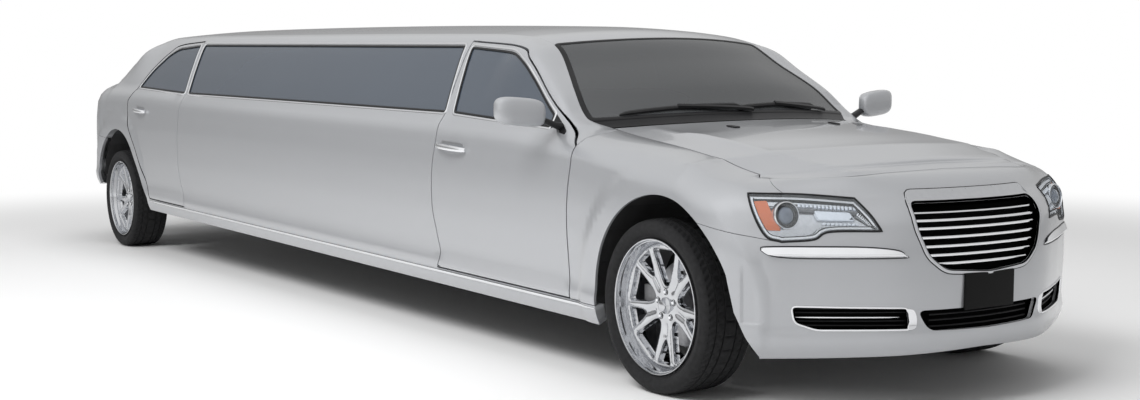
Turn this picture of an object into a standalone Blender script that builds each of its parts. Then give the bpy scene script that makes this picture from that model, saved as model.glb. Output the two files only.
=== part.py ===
"""Stretch limousine: body panels, doors, glass, cabin and running gear as separate solids.

Metres, +X forward, +Y left, +Z up. The body is drawn in its own frame, with x measured from the front
axle and z from the road there, and stands on its wheels with a slight nose-down rake.
A place on the painted flank is (g, z): g follows the body's outline in plan, equal to x along the
straight side, and goes on round the nose and the tail to the centre line. A station is 0 where the nose
starts to curve, 1 at its middle, -1 where the tail starts to curve and -2 at its middle.
"""
import math
from bisect import bisect_right

import bmesh
import bpy
import numpy as np
from mathutils import Vector
from mathutils.bvhtree import BVHTree
from mathutils.geometry import delaunay_2d_cdt

# Overall sizes
WHEELBASE = 6.608
FRONT_OVERHANG = 0.900
REAR_OVERHANG = 1.122
HALF_WIDTH = 0.951
ROOF_HEIGHT = 1.489
RAKE_DEGREES = 0.785
NOSE_START = 0.150
TAIL_START = -6.900

# Seams and sheet
SEAT_GAP = 0.0004
SHUT_GAP = 0.0065
WALL = 0.048
PILLAR_WALL = 0.026
FENDER_WALL = 0.018
BUMPER_WALL = 0.022
ROOF_WALL = 0.024
LID_WALL = 0.022
GLASS_WALL = 0.006
GLASS_DEPTH = 0.006
OUTLINE_STEP = 0.30
WINDOW_STEP = 0.09
PANE_STEP = 0.12
GRID_CLEARANCE = 0.030

# Wheels: outward places are measured from the middle of the tyre
HALF_TRACK = 0.805
TYRE_RADIUS = 0.350
TYRE_HALF_WIDTH = 0.1225
RIM_RADIUS = 0.272
BEAD_RADIUS = 0.260
BARREL_RADIUS = 0.251
FLANGE_PLACE = 0.0984
LIP_PLACE = 0.114
LIP_INNER_RADIUS = 0.265
LIP_FOOT_PLACE = 0.088
SPOKE_WALL = 0.030
SPOKE_RIM_PLACE = 0.062
SPOKE_HUB_PLACE = 0.040
SPOKE_OVERLAP = 0.002
HUB_RADIUS = 0.062
HUB_BACK_PLACE = -0.065
DISC_RADIUS = 0.172
DISC_BACK_PLACE = -0.060
DISC_FRONT_PLACE = -0.034
CAP_RADIUS = 0.034
CAP_TIP_RADIUS = 0.024
CAP_PLACE = 0.078
WHEEL_SEGMENTS = 24
HUB_SEGMENTS = 10
SPOKES = 5
# Openings in the rim's face: rows of radius as a share of the rim's and half angle in degrees, from the inside out
OPENING_ROWS = ((0.30, 11.0), (0.40, 15.0), (0.84, 16.0), (0.90, 13.0))
FORK_ROWS = ((0.50, 2.5), (0.62, 7.0), (0.84, 11.0), (0.90, 9.0))
# The tyre from its bead to its tread: radius as a share of the tyre's, place as a share of its half width
TYRE_SHARES = ((0.857, 1.00), (0.92, 1.00), (0.983, 0.86), (1.0, 0.57))

# Steering and suspension
STEER_LIMIT_DEGREES = 33.0
KINGPIN_Y = 0.735
UPRIGHT_LOW = (-0.050, 0.035, -0.150)
UPRIGHT_HIGH = (0.050, 0.075, 0.150)
SPINDLE_RADIUS = 0.028
SPINDLE_START = 0.045
CALIPER_HALF_HEIGHT = 0.060
# Caliper seen from above: forward from the axle, and inward from the kingpin
CALIPER_ROWS = ((-0.215, 0.013), (-0.115, 0.013), (-0.115, -0.0045), (-0.1775, -0.0045), (-0.1775, -0.0415),
                (-0.115, -0.0415), (-0.115, -0.071), (-0.215, -0.071))
BRACKET_LOW = (-0.200, 0.005, -0.040)
BRACKET_HIGH = (0.000, 0.063, 0.040)
CROSS_LOW = (-0.110, -0.460, 0.215)
CROSS_HIGH = (0.110, 0.460, 0.295)
ARM_HALF_WIDTH = 0.025
# Lower arm seen from ahead: outward from the car's middle, and height
ARM_ROWS = ((0.440, 0.220), (0.660, 0.155), (0.715, 0.155), (0.715, 0.194), (0.640, 0.194), (0.440, 0.275))
# Pad of the lower ball joint, under the upright
BALL_PAD_LOW = (-0.012, 0.675, 0.180)
BALL_PAD_HIGH = (0.012, 0.705, 0.1993)
ENGINE_LOW = (-0.300, -0.280)
ENGINE_HIGH = (0.300, 0.280, 0.850)
AXLE_RADIUS = 0.045
DIFF_LOW = (-0.120, -0.120, -0.100)
DIFF_HIGH = (0.120, 0.120, 0.100)
SPRING_LOW = (-0.035, 0.430, 0.0)
SPRING_HIGH = (0.035, 0.520)
EXHAUST_RADIUS = 0.030
EXHAUST_Y = -0.250
MUFFLER_LOW = (-5.700, -0.420, 0.130)
MUFFLER_HIGH = (-5.150, -0.080)

# Wheel arches: centre and radius on the flank, and the raised brow round each
FRONT_ARCH_X = 0.050
FRONT_ARCH_Z = 0.370
FRONT_ARCH_RADIUS = 0.430
REAR_ARCH_X = -6.600
REAR_ARCH_Z = 0.325
REAR_ARCH_RADIUS = 0.440
BROW_WIDTH = 0.150
BROW_EDGE = 0.060
BROW_HEIGHT = 0.014

# Doors: x of the cuts, and heights shared by the flank's openings
DOOR_BOTTOM = 0.308
FRONT_DOOR_FRONT = -0.600
FRONT_DOOR_REAR = -1.790
REAR_DOOR_FRONT = -5.360
REAR_DOOR_REAR = -6.410
WINDOW_BOTTOM = 1.056
WINDOW_TOP = 1.378
PILLAR_WIDTH = 0.042
DOOR_LIMIT_DEGREES = 65.0
HINGE_AHEAD = 0.046
HINGE_INSIDE = 0.022

# Running gear and inside
FLOOR_WALL = 0.030
FLOOR_UNDER = 0.240
FIREWALL_HALF_WIDTH = 0.725
# Lower or front face of the floor: forward and height, from the firewall's top back
FIREWALL_ROWS = ((-0.620, 0.980), (-0.750, 0.240), (-0.800, 0.240))
FLOOR_ROWS = ((-0.780, 0.240), (-5.750, 0.240), (-5.950, 0.470), (-6.060, 0.470))
TAIL_ROWS = ((-6.0604, 0.470), (-6.900, 0.470), (-7.000, 0.390), (-7.550, 0.390), (-7.580, 0.800))
RAIL_LOW = (-0.7215, 0.320)
RAIL_HIGH = (0.700, 0.420, 0.400)
# Posts that the doors and the side close against: which shape, x from and to, and height
POST_ROWS = (
    ("front_door", -0.705, -0.645, 0.800), ("side", -1.930, -1.860, 0.900), ("rear_door", -5.460, -5.390, 0.900),
)
POST_INNER_Y = 0.7805
POST_OUTER_Y = 0.815
SILL_TOP = 0.330
POST_PAD_BOTTOM = 0.350
HOOD_POST_LOW = (0.480, 0.340, 0.390)
HOOD_POST_HIGH = (0.560, 0.400)
LOCK_LOW = (-0.080, 0.770)
LOCK_HIGH = (0.080, 0.800)
JACK_PAD_XS = (-1.000, -5.500)
JACK_PAD_LOW = (-0.060, 0.760, 0.210)
JACK_PAD_HIGH = (0.060, 0.850, 0.245)
LINER_WALL = 0.006
FRONT_LINER = (0.030, 0.370, 0.455)
REAR_LINER = (-6.600, 0.325, 0.455)
LINER_INNER_Y = (0.410, 0.530)
LINER_ANGLES = ((-4.0, 184.0), (6.0, 170.0))
LINER_STEPS = 10
SEAM_SLACK = 0.006
NOSE_SLACK = 0.030

# Inside
DASH_ROWS = ((-0.7141, 0.620), (-0.6649, 0.900), (-0.690, 0.955), (-0.900, 0.965), (-1.080, 0.920), (-1.120, 0.800), (-1.000, 0.620))
DASH_HALF_WIDTH = 0.690
WHEEL_PLACE = (-1.250, 0.380, 0.900)
WHEEL_TILT_DEGREES = 25.0
WHEEL_RING_RADIUS = 0.185
WHEEL_BAR_RADIUS = 0.014
COLUMN_START = (-1.050, 0.380, 0.815)
COLUMN_RADIUS = 0.025
# Seats from the side: forward and height
FRONT_CUSHION_ROWS = ((-1.340, 0.2704), (-1.300, 0.520), (-1.780, 0.500), (-1.800, 0.2704))
FRONT_BACK_ROWS = ((-1.720, 0.400), (-1.930, 1.140), (-2.030, 1.140), (-1.860, 0.400))
SEAT_YS = ((-0.660, -0.140), (0.140, 0.660))
CONSOLE_LOW = (-1.800, -0.150, 0.2704)
CONSOLE_HIGH = (-1.320, 0.150, 0.480)
REAR_CUSHION_ROWS = ((-5.200, 0.2704), (-5.180, 0.600), (-5.730, 0.580), (-5.730, 0.2704))
REAR_BACK_ROWS = ((-5.600, 0.500), (-5.880, 1.160), (-6.030, 1.140), (-5.810, 0.500))
REAR_SEAT_HALF_WIDTH = 0.740
BENCH_LOW = (-5.300, -0.780, 0.2704)
BENCH_HIGH = (-2.500, -0.300, 0.600)
BENCH_BACK_LOW = (-5.300, -0.780, 0.580)
BENCH_BACK_HIGH = (-2.500, -0.640, 1.020)
PARTITION_X = (-2.180, -2.150)
PARTITION_ROWS = ((0.780, 0.2704), (0.780, 0.960), (0.620, 1.330))
PARTITION_WINDOW_ROWS = ((0.600, 1.000), (0.500, 1.260))
PLATE_PAD_HALF_WIDTH = 0.150
FRONT_PAD_LOW = (0.886, 0.4010)
FRONT_PAD_HIGH = (0.908, 0.5290)
REAR_PAD_LOW = (-7.732, 0.430)
REAR_PAD_HIGH = (-7.690, 0.590)

MATERIALS = {
    "paint": ((0.62, 0.63, 0.65), 0.32, 0.60),
    "glass": ((0.10, 0.13, 0.17), 0.05, 0.00),
    "chrome": ((0.80, 0.80, 0.82), 0.08, 1.00),
    "rubber": ((0.03, 0.03, 0.03), 0.80, 0.00),
    "black": ((0.04, 0.04, 0.04), 0.50, 0.00),
    "lamp": ((0.75, 0.78, 0.80), 0.10, 0.10),
    "lamp_red": ((0.45, 0.03, 0.03), 0.15, 0.00),
    "steel": ((0.30, 0.30, 0.31), 0.45, 0.80),
    "leather": ((0.09, 0.08, 0.08), 0.55, 0.00),
}

# Plan of the nose: share of the overhang ahead of the axle, share of the half width
NOSE_PLAN_SHARES = (
    (0.167, 1.000), (0.389, 0.983), (0.522, 0.941), (0.622, 0.862), (0.700, 0.757),
    (0.817, 0.589), (0.928, 0.400), (0.983, 0.210), (1.000, 0.000),
)
# Plan of the tail: share of the overhang behind the rear axle, share of the half width
TAIL_PLAN_SHARES = (
    (0.260, 1.000), (0.439, 0.982), (0.617, 0.915), (0.750, 0.842), (0.866, 0.728),
    (0.938, 0.570), (0.982, 0.315), (1.000, 0.000),
)
# Rows of station and height as a share of the roof height
BOTTOM_Z_SHARES = (
    (-2.00, 0.195), (-1.40, 0.200), (-1.10, 0.222), (-1.00, 0.222), (-0.92, 0.150), (0.00, 0.150),
    (0.30, 0.146), (1.00, 0.160),
)
SHOULDER_Z_SHARES = (
    (-2.00, 0.640), (-1.40, 0.625), (-1.00, 0.600), (-0.60, 0.604), (-0.12, 0.600), (-0.02, 0.545),
    (0.15, 0.500), (0.40, 0.470), (1.00, 0.470),
)
BELT_Z_SHARES = (
    (-2.00, 0.700), (-1.40, 0.690), (-1.05, 0.704), (-0.911, 0.713), (-0.773, 0.706), (-0.518, 0.6965),
    (-0.277, 0.6965), (-0.2014, 0.691), (-0.120, 0.662), (-0.02, 0.625), (0.15, 0.585), (0.42, 0.560),
    (0.70, 0.545), (1.00, 0.545),
)
TOP_Z_SHARES = (
    (-2.00, 0.732), (-1.62, 0.722), (-1.39, 0.722), (-1.10, 0.738), (-1.02, 0.752), (-0.970, 0.850),
    (-0.932, 0.934), (-0.900, 0.958), (-0.80, 0.966), (-0.50, 0.967), (-0.28, 0.964), (-0.225, 0.955),
    (-0.1985, 0.930), (-0.1702, 0.852), (-0.149, 0.790), (-0.127, 0.712), (-0.112, 0.688), (-0.035, 0.6495), (0.00, 0.630),
    (0.15, 0.600), (0.30, 0.591), (0.56, 0.598), (0.71, 0.604), (1.00, 0.608),
)
# Rows of station and distance inside the plan outline as a share of the half width
BELT_IN_SHARES = (
    (-2.00, 0.040), (-1.40, 0.060), (-1.00, 0.085), (-0.80, 0.088), (-0.12, 0.090), (-0.02, 0.100),
    (0.15, 0.095), (0.42, 0.090), (1.00, 0.085),
)
TOP_IN_SHARES = (
    (-2.00, 0.063), (-1.62, 0.058), (-1.51, 0.105), (-1.39, 0.179), (-1.28, 0.231), (-1.07, 0.305),
    (-1.00, 0.330), (-0.932, 0.368), (-0.900, 0.369), (-0.50, 0.369), (-0.225, 0.369), (-0.1985, 0.380),
    (-0.127, 0.232), (-0.112, 0.285), (-0.035, 0.264), (0.00, 0.263), (0.15, 0.271), (0.30, 0.233),
    (0.42, 0.168), (0.56, 0.147), (0.71, 0.215), (0.85, 0.247), (1.00, 0.263),
)
FLANK_IN_SHARES = ((-2.00, 0.0), (-1.10, 0.002), (-0.97, 0.017), (-0.04, 0.017), (0.10, 0.0), (1.00, 0.0))
# How much of a station's upper section is cabin side rather than one rounded shoulder
CABIN_SHARES = (
    (-2.00, 0.0), (-1.06, 0.0), (-0.985, 1.0), (-0.130, 1.0), (-0.108, 0.0), (1.00, 0.0),
)
# Flank from its lower edge to the shoulder: share of that height, inward share of the half width
TUCK_SHARES = (
    (0.00, 0.028), (0.058, 0.011), (0.111, 0.002), (0.158, -0.002), (0.261, 0.005), (0.409, 0.003),
    (0.586, 0.000), (0.734, 0.000), (0.882, 0.003), (1.000, 0.010),
)
# Cabin side from belt to roof edge: share of the way, share of the rise, share of the inward run
TUMBLEHOME_SHARES = ((0.0, 0.0, 0.0), (0.45, 0.45, 0.33), (0.80, 0.87, 0.70), (0.92, 0.97, 0.87), (1.0, 1.0, 1.0))
PILLAR_SHARES = ((0.0, 0.0, 0.0), (0.40, 0.55, 0.26), (0.72, 0.93, 0.50), (0.86, 0.985, 0.72), (1.0, 1.0, 1.0))
# How much of the cabin side is pillar under a sloping screen rather than tumblehome under the roof
SCREEN_SHARES = ((-1.00, 1.0), (-0.96, 1.0), (-0.90, 0.0), (-0.24, 0.0), (-0.185, 1.0), (0.00, 1.0))
BELT_ANGLE_CABIN = 72.0
BELT_ANGLE_FENDER = 50.0

STATION_SPAN = NOSE_START - TAIL_START
SLIVER = 1e-7
SMALL_STEP = 0.004
LEVEL_STEP = 0.05


def through(rows, size=1.0):
    """Smooth curve with no overshoot through rows of place and value."""
    xs = [row[0] for row in rows]
    ys = [row[1] * size for row in rows]
    steps = [(ys[i + 1] - ys[i]) / (xs[i + 1] - xs[i]) for i in range(len(xs) - 1)]
    slopes = [steps[0]]
    for before, after in zip(steps, steps[1:]):
        slopes.append(0.0 if before * after <= 0.0 else 2.0 * before * after / (before + after))
    slopes.append(steps[-1])

    def value(x):
        x = min(max(x, xs[0]), xs[-1])
        i = min(bisect_right(xs, x) - 1, len(steps) - 1)
        h = xs[i + 1] - xs[i]
        t = (x - xs[i]) / h
        bend = ys[i] * (2 * t ** 3 - 3 * t ** 2 + 1) + ys[i + 1] * (3 * t ** 2 - 2 * t ** 3)
        return bend + h * (slopes[i] * (t ** 3 - 2 * t ** 2 + t) + slopes[i + 1] * (t ** 3 - t ** 2))

    return value


def between(a, b, share):
    return a + (b - a) * share


def ease(share):
    share = min(max(share, 0.0), 1.0)
    return share * share * (3.0 - 2.0 * share)


def dense_plan(points, steps=24):
    """Rows of run length, x, half width and outward normal along a smooth curve through the points."""
    ends = [points[0]] + list(points) + [(points[-1][0], -points[-2][1])]
    path = []
    for i in range(1, len(ends) - 2):
        p = [Vector(ends[i + j]) for j in (-1, 0, 1, 2)]
        for n in range(steps):
            t = n / steps
            path.append(0.5 * (2 * p[1] + (p[2] - p[0]) * t + (2 * p[0] - 5 * p[1] + 4 * p[2] - p[3]) * t ** 2
                               + (3 * p[1] - p[0] - 3 * p[2] + p[3]) * t ** 3))
    path.append(Vector(points[-1]))
    path = np.array([tuple(p) for p in path])
    run = np.concatenate(([0.0], np.cumsum(np.linalg.norm(np.diff(path, axis=0), axis=1))))
    tangent = np.gradient(path, run, axis=0)
    tangent /= np.linalg.norm(tangent, axis=1)[:, None]
    outward = np.stack((-tangent[:, 1], tangent[:, 0]), axis=1)
    outward *= np.sign(outward[:, 1:2] + 1e-9)
    outward[0] = (0.0, 1.0)
    outward[-1] = (math.copysign(1.0, path[-1, 0] - path[0, 0]), 0.0)
    return run, path, outward


NOSE = dense_plan([(x * FRONT_OVERHANG, y * HALF_WIDTH) for x, y in NOSE_PLAN_SHARES])
TAIL = dense_plan([(-WHEELBASE - x * REAR_OVERHANG, y * HALF_WIDTH) for x, y in TAIL_PLAN_SHARES])
NOSE_LENGTH = float(NOSE[0][-1])
TAIL_LENGTH = float(TAIL[0][-1])
NOSE_MIDDLE = NOSE_START + NOSE_LENGTH
TAIL_MIDDLE = TAIL_START - TAIL_LENGTH


def plan(g):
    """Station, x, signed y and outward normal of the body's outline on the right side, past the middle on the left."""
    if TAIL_START <= g <= NOSE_START:
        return -(NOSE_START - g) / STATION_SPAN, g, -HALF_WIDTH, 0.0, -1.0
    (run, path, outward), length, start, way = (
        (NOSE, NOSE_LENGTH, NOSE_START, 1.0) if g > NOSE_START else (TAIL, TAIL_LENGTH, TAIL_START, -1.0))
    along = abs(g - start)
    side = -1.0
    if along > length:
        along, side = max(2.0 * length - along, 0.0), 1.0
    x, y = np.interp(along, run, path[:, 0]), np.interp(along, run, path[:, 1])
    nx, ny = np.interp(along, run, outward[:, 0]), np.interp(along, run, outward[:, 1])
    station = along / length if way > 0.0 else -1.0 - along / length
    return station, x, side * y, nx, side * ny


def at_station(station):
    """The g of a station."""
    if station > 0.0:
        return NOSE_START + station * NOSE_LENGTH
    if station < -1.0:
        return TAIL_START + (station + 1.0) * TAIL_LENGTH
    return NOSE_START + station * STATION_SPAN


bottom_z = through(BOTTOM_Z_SHARES, ROOF_HEIGHT)
shoulder_z = through(SHOULDER_Z_SHARES, ROOF_HEIGHT)
belt_z = through(BELT_Z_SHARES, ROOF_HEIGHT)
top_z = through(TOP_Z_SHARES, ROOF_HEIGHT)
belt_in = through(BELT_IN_SHARES, HALF_WIDTH)
top_in = through(TOP_IN_SHARES, HALF_WIDTH)
flank_in = through(FLANK_IN_SHARES, HALF_WIDTH)
cabin_share = through(CABIN_SHARES)
tuck = through(TUCK_SHARES, HALF_WIDTH)
screen_share = through(SCREEN_SHARES)
roof_rise = through([(row[0], row[1]) for row in TUMBLEHOME_SHARES])
roof_run = through([(row[0], row[2]) for row in TUMBLEHOME_SHARES])
pillar_rise = through([(row[0], row[1]) for row in PILLAR_SHARES])
pillar_run = through([(row[0], row[2]) for row in PILLAR_SHARES])


def brow(g, z):
    """How far the arch's brow stands out of the flank at a place."""
    out = 0.0
    for x0, z0, radius in ((FRONT_ARCH_X, FRONT_ARCH_Z, FRONT_ARCH_RADIUS), (REAR_ARCH_X, REAR_ARCH_Z, REAR_ARCH_RADIUS)):
        beyond = math.hypot(g - x0, z - z0) - radius
        out = max(out, BROW_HEIGHT * ease((BROW_WIDTH - beyond) / BROW_EDGE))
    return out


def section(g, level):
    """Height and inward distance on the flank: level 0 lower edge, 1 shoulder, 2 belt, 3 roof edge or hood line."""
    station = plan(g)[0]
    if level <= 1.0:
        z = between(bottom_z(station), shoulder_z(station), level)
        return z, flank_in(station) + tuck(level) - brow(g, z)
    cabin = cabin_share(station)
    turn = math.radians(between(BELT_ANGLE_FENDER, BELT_ANGLE_CABIN, cabin))
    shoulder, belt, top = shoulder_z(station), belt_z(station), top_z(station)
    shoulder_in = flank_in(station) + tuck(1.0)
    if level <= 2.0:
        a = (level - 1.0) * turn
        z = between(shoulder, belt, math.sin(a) / math.sin(turn))
        inward = between(shoulder_in, belt_in(station), (1.0 - math.cos(a)) / (1.0 - math.cos(turn)))
        return z, inward - brow(g, z) * (2.0 - level)
    share = level - 2.0
    a = between(math.radians(BELT_ANGLE_FENDER), 0.5 * math.pi, share)
    low = math.radians(BELT_ANGLE_FENDER)
    round_rise = (math.sin(a) - math.sin(low)) / (1.0 - math.sin(low))
    round_run = 1.0 - math.cos(a) / math.cos(low)
    screen = screen_share(station)
    cabin_rise = between(roof_rise(share), pillar_rise(share), screen)
    cabin_run = between(roof_run(share), pillar_run(share), screen)
    z = between(belt, top, between(round_rise, cabin_rise, cabin))
    inward = between(belt_in(station), top_in(station), between(round_run, cabin_run, cabin))
    return z, inward


def level_at(g, z):
    low, high = 0.0, 3.0
    for _ in range(22):
        middle = 0.5 * (low + high)
        if section(g, middle)[0] < z:
            low = middle
        else:
            high = middle
    return 0.5 * (low + high)


def flank_level(g, level):
    station, x, y, nx, ny = plan(g)
    z, inward = section(g, level)
    return Vector((x - nx * inward, y - ny * inward, z))


def flank(g, z):
    """Point and outward normal of the right flank, nose or tail at (g, z)."""
    level = min(max(level_at(g, z), 0.0), 3.0)
    point = flank_level(g, level)
    along = flank_level(g + SMALL_STEP, level) - flank_level(g - SMALL_STEP, level)
    rising = flank_level(g, min(level + LEVEL_STEP, 3.0)) - flank_level(g, max(level - LEVEL_STEP, 0.0))
    return point, along.cross(rising).normalized()


def top_line(station):
    """The roof edge, hood line or deck line on the right side."""
    return flank_level(at_station(station), 3.0)


def patch(front, back, side, crown=0.0, dome=1.0):
    """Point and normal over (a, b) in a square: a across from -1 right to 1 left, b from the front edge to the back.

    front and back give a point for a; side gives the right-hand edge for b, mirrored for the left.
    """
    def mirrored(p):
        return Vector((p.x, -p.y, p.z))

    def point(a, b):
        a, b = min(max(a, -1.0), 1.0), min(max(b, 0.0), 1.0)
        right, left = side(b), mirrored(side(b))
        s = 0.5 * (a + 1.0)
        ruled = front(a).lerp(back(a), b) + right.lerp(left, s)
        corners = front(-1.0).lerp(back(-1.0), b).lerp(front(1.0).lerp(back(1.0), b), s)
        bulge = crown * (1.0 - abs(a) ** (2.0 * dome)) * (4.0 * b * (1.0 - b)) ** 0.8
        return ruled - corners + Vector((0.0, 0.0, bulge))

    def place(a, b):
        small = 0.002
        da = small if a < 0.0 else -small
        db = small if b < 0.5 else -small
        p = point(a, b)
        across = (point(a + da, b) - p) * math.copysign(1.0, da)
        along = (point(a, b + db) - p) * math.copysign(1.0, db)
        normal = across.cross(along).normalized()
        return p, normal if normal.z > 0.0 else -normal

    return place


def arc(centre, radius, start, end, steps):
    """Points on a circle in a flat outline, angles in degrees."""
    turns = [math.radians(between(start, end, n / steps)) for n in range(steps + 1)]
    return [(centre[0] + radius * math.cos(t), centre[1] + radius * math.sin(t)) for t in turns]


def rounded(points, radius, steps=3):
    """A closed outline with its corners rounded."""
    out = []
    for i, p in enumerate(points):
        corner = Vector(p)
        before, after = Vector(points[i - 1]), Vector(points[(i + 1) % len(points)])
        r = min(radius, 0.45 * (before - corner).length, 0.45 * (after - corner).length)
        start = corner + (before - corner).normalized() * r
        end = corner + (after - corner).normalized() * r
        for n in range(steps + 1):
            t = n / steps
            out.append(tuple(start * (1 - t) ** 2 + corner * 2 * t * (1 - t) + end * t ** 2))
    return out


def area(loop):
    return 0.5 * sum(a[0] * b[1] - b[0] * a[1] for a, b in zip(loop, loop[1:] + loop[:1]))


def cleaned(loop, least=0.0008):
    out = []
    for p in loop:
        if not out or math.dist(p, out[-1]) > least:
            out.append(tuple(p))
    if math.dist(out[0], out[-1]) <= least:
        out.pop()
    return out if area(out) > 0.0 else out[::-1]


def divided(loop, step, scale=(1.0, 1.0)):
    """The loop with its long edges divided."""
    out = []
    for a, b in zip(loop, loop[1:] + loop[:1]):
        length = math.hypot((b[0] - a[0]) * scale[0], (b[1] - a[1]) * scale[1])
        parts = max(1, math.ceil(length / step - 0.01))
        out += [(between(a[0], b[0], n / parts), between(a[1], b[1], n / parts)) for n in range(parts)]
    return out


def shifted(loop, distance, scale=(1.0, 1.0)):
    """The loop moved to its inside by a distance, or outside where it is negative."""
    points = [Vector((x * scale[0], y * scale[1])) for x, y in loop]
    turn = 1.0 if area(loop) > 0.0 else -1.0
    out = []
    for i, p in enumerate(points):
        e = [(p - points[i - 1]).normalized(), (points[(i + 1) % len(points)] - p).normalized()]
        n = [Vector((-d.y, d.x)) * turn for d in e]
        bisector = n[0] + n[1]
        reach = distance * 2.0 / max(bisector.length_squared, 0.7)
        q = p + bisector * reach
        out.append((q.x / scale[0], q.y / scale[1]))
    return out


def seam(loop, gap, step=OUTLINE_STEP):
    """The loop divided as its neighbour's is, then moved in by a gap."""
    return shifted(divided(cleaned(loop), step), gap)


def inside(p, loop):
    hit = False
    for a, b in zip(loop, loop[1:] + loop[:1]):
        if (a[1] > p[1]) != (b[1] > p[1]) and p[0] < a[0] + (b[0] - a[0]) * (p[1] - a[1]) / (b[1] - a[1]):
            hit = not hit
    return hit


def distance_to(p, loop, scale):
    q = np.array(loop) * scale
    r = np.roll(q, -1, axis=0)
    at = np.array(p) * scale
    edge = r - q
    t = np.clip(np.einsum("ij,ij->i", at - q, edge) / np.maximum(np.einsum("ij,ij->i", edge, edge), 1e-12), 0.0, 1.0)
    return float(np.linalg.norm(q + edge * t[:, None] - at, axis=1).min())


def filled(loops, grid, scale, clear):
    """Triangles of a region with holes, as flat points and index triples; boundary points come first."""
    flat, edges = [], []
    for loop in loops:
        first = len(flat)
        flat += loop
        edges += [(first + i, first + (i + 1) % len(loop)) for i in range(len(loop))]
    for p in grid:
        if inside(p, loops[0]) and not any(inside(p, hole) for hole in loops[1:]):
            if min(distance_to(p, loop, scale) for loop in loops) > clear:
                flat.append(p)
    scaled = [Vector((x * scale[0], y * scale[1])) for x, y in flat]
    verts, _, faces, origin, _, _ = delaunay_2d_cdt(scaled, edges, [], 0, 1e-9)
    for i, rows in enumerate(origin):
        if not rows:
            raise ValueError(f"an outline crosses itself near {verts[i].x / scale[0]:.3f}, {verts[i].y / scale[1]:.3f}")
    source = [rows[0] for rows in origin]
    triangles = []
    for face in faces:
        a, b, c = (verts[i] for i in face)
        if abs((b - a).cross(c - a)) < SLIVER:
            continue
        middle = (a + b + c) / 3.0
        p = (middle.x / scale[0], middle.y / scale[1])
        if inside(p, loops[0]) and not any(inside(p, hole) for hole in loops[1:]):
            triangles.append(tuple(source[i] for i in face))
    return flat, triangles


def grid_rows(us, vs):
    return [(u, v) for u in us for v in vs]


def spread(start, end, count):
    return [between(start, end, n / (count - 1)) for n in range(count)]


def slab(place, loops, wall, grid, step=OUTLINE_STEP, scale=(1.0, 1.0), depth=0.0, taper=None, inner=None,
         clear=GRID_CLEARANCE):
    """A closed sheet on a surface: outer face at depth, inner face a wall's thickness further in.

    wall is a length or a function of the flat place. taper gives how far the inner face's edge is drawn in,
    and inner gives its place outright.
    """
    loops = [divided(cleaned(loop), step, scale) for loop in loops]
    thickness = wall if callable(wall) else lambda u, v: wall
    inner_loops = []
    for n, loop in enumerate(loops):
        if inner and n == 0:
            inner_loops.append([inner(*p) for p in loop])
        elif taper and n == 0:
            moved = shifted(loop, 1.0, scale)
            inner_loops.append([
                (p[0] + (q[0] - p[0]) * taper(*p), p[1] + (q[1] - p[1]) * taper(*p))
                for p, q in zip(loop, moved)])
        else:
            inner_loops.append(loop)
    outer_flat, outer_faces = filled(loops, grid, scale, clear)
    inner_flat, inner_faces = filled(inner_loops, grid, scale, clear)
    verts = []
    for x, z in outer_flat:
        p, n = place(x, z)
        verts.append(p - n * depth)
    count = len(outer_flat)
    for x, z in inner_flat:
        p, n = place(x, z)
        verts.append(p - n * (depth + thickness(x, z)))
    faces = list(outer_faces) + [tuple(reversed([i + count for i in f])) for f in inner_faces]
    first = 0
    for loop in loops:
        size = len(loop)
        for i in range(size):
            a, b = first + i, first + (i + 1) % size
            faces += [(a, a + count, b), (b, a + count, b + count)]
        first += size
    return verts, faces


def closed(verts, faces):
    """A mesh from points and faces with its faces pointing out."""
    bm = bmesh.new()
    made = [bm.verts.new(v) for v in verts]
    for face in faces:
        bm.faces.new([made[i] for i in face])
    loose = [v for v in bm.verts if not v.link_faces]
    bmesh.ops.delete(bm, geom=loose, context="VERTS")
    bmesh.ops.recalc_face_normals(bm, faces=bm.faces)
    return bm


def revolve(profile, segments, radius_axis="Y"):
    """A ring from a closed profile of (radius, along) turned about an axis through the origin."""
    verts, faces = [], []
    size = len(profile)
    for n in range(segments):
        a = 2.0 * math.pi * n / segments - 0.5 * math.pi
        verts += [Vector((r * math.cos(a), y, r * math.sin(a))) for r, y in profile]
    for n in range(segments):
        for i in range(size):
            a, b = n * size + i, n * size + (i + 1) % size
            c, d = ((n + 1) % segments) * size + (i + 1) % size, ((n + 1) % segments) * size + i
            faces.append((a, b, c, d))
    return verts, faces


def turned(profile, segments):
    """A solid of revolution about Y from an open profile that starts and ends on the axis."""
    verts = [Vector((0.0, profile[0][1], 0.0)), Vector((0.0, profile[-1][1], 0.0))]
    ring = profile[1:-1]
    for n in range(segments):
        a = 2.0 * math.pi * n / segments
        verts += [Vector((r * math.cos(a), y, r * math.sin(a))) for r, y in ring]
    faces, size = [], len(ring)
    for n in range(segments):
        here, there = 2 + n * size, 2 + ((n + 1) % segments) * size
        faces.append((0, here, there))
        faces += [(here + i, here + i + 1, there + i + 1, there + i) for i in range(size - 1)]
        faces.append((1, there + size - 1, here + size - 1))
    return verts, faces


def extruded(outline, low, high, axis="Y"):
    """A prism of a flat outline (x, z) along Y, or (x, y) along Z, or (y, z) along X."""
    def spot(p, t):
        return {"Y": (p[0], t, p[1]), "Z": (p[0], p[1], t), "X": (t, p[0], p[1])}[axis]
    size = len(outline)
    verts = [Vector(spot(p, low)) for p in outline] + [Vector(spot(p, high)) for p in outline]
    faces = [tuple(range(size)), tuple(reversed(range(size, 2 * size)))]
    faces += [(i, i + size, (i + 1) % size + size, (i + 1) % size) for i in range(size)]
    return verts, faces


def block(low, high):
    return extruded([(low[0], low[2]), (high[0], low[2]), (high[0], high[2]), (low[0], high[2])], low[1], high[1])


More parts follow.
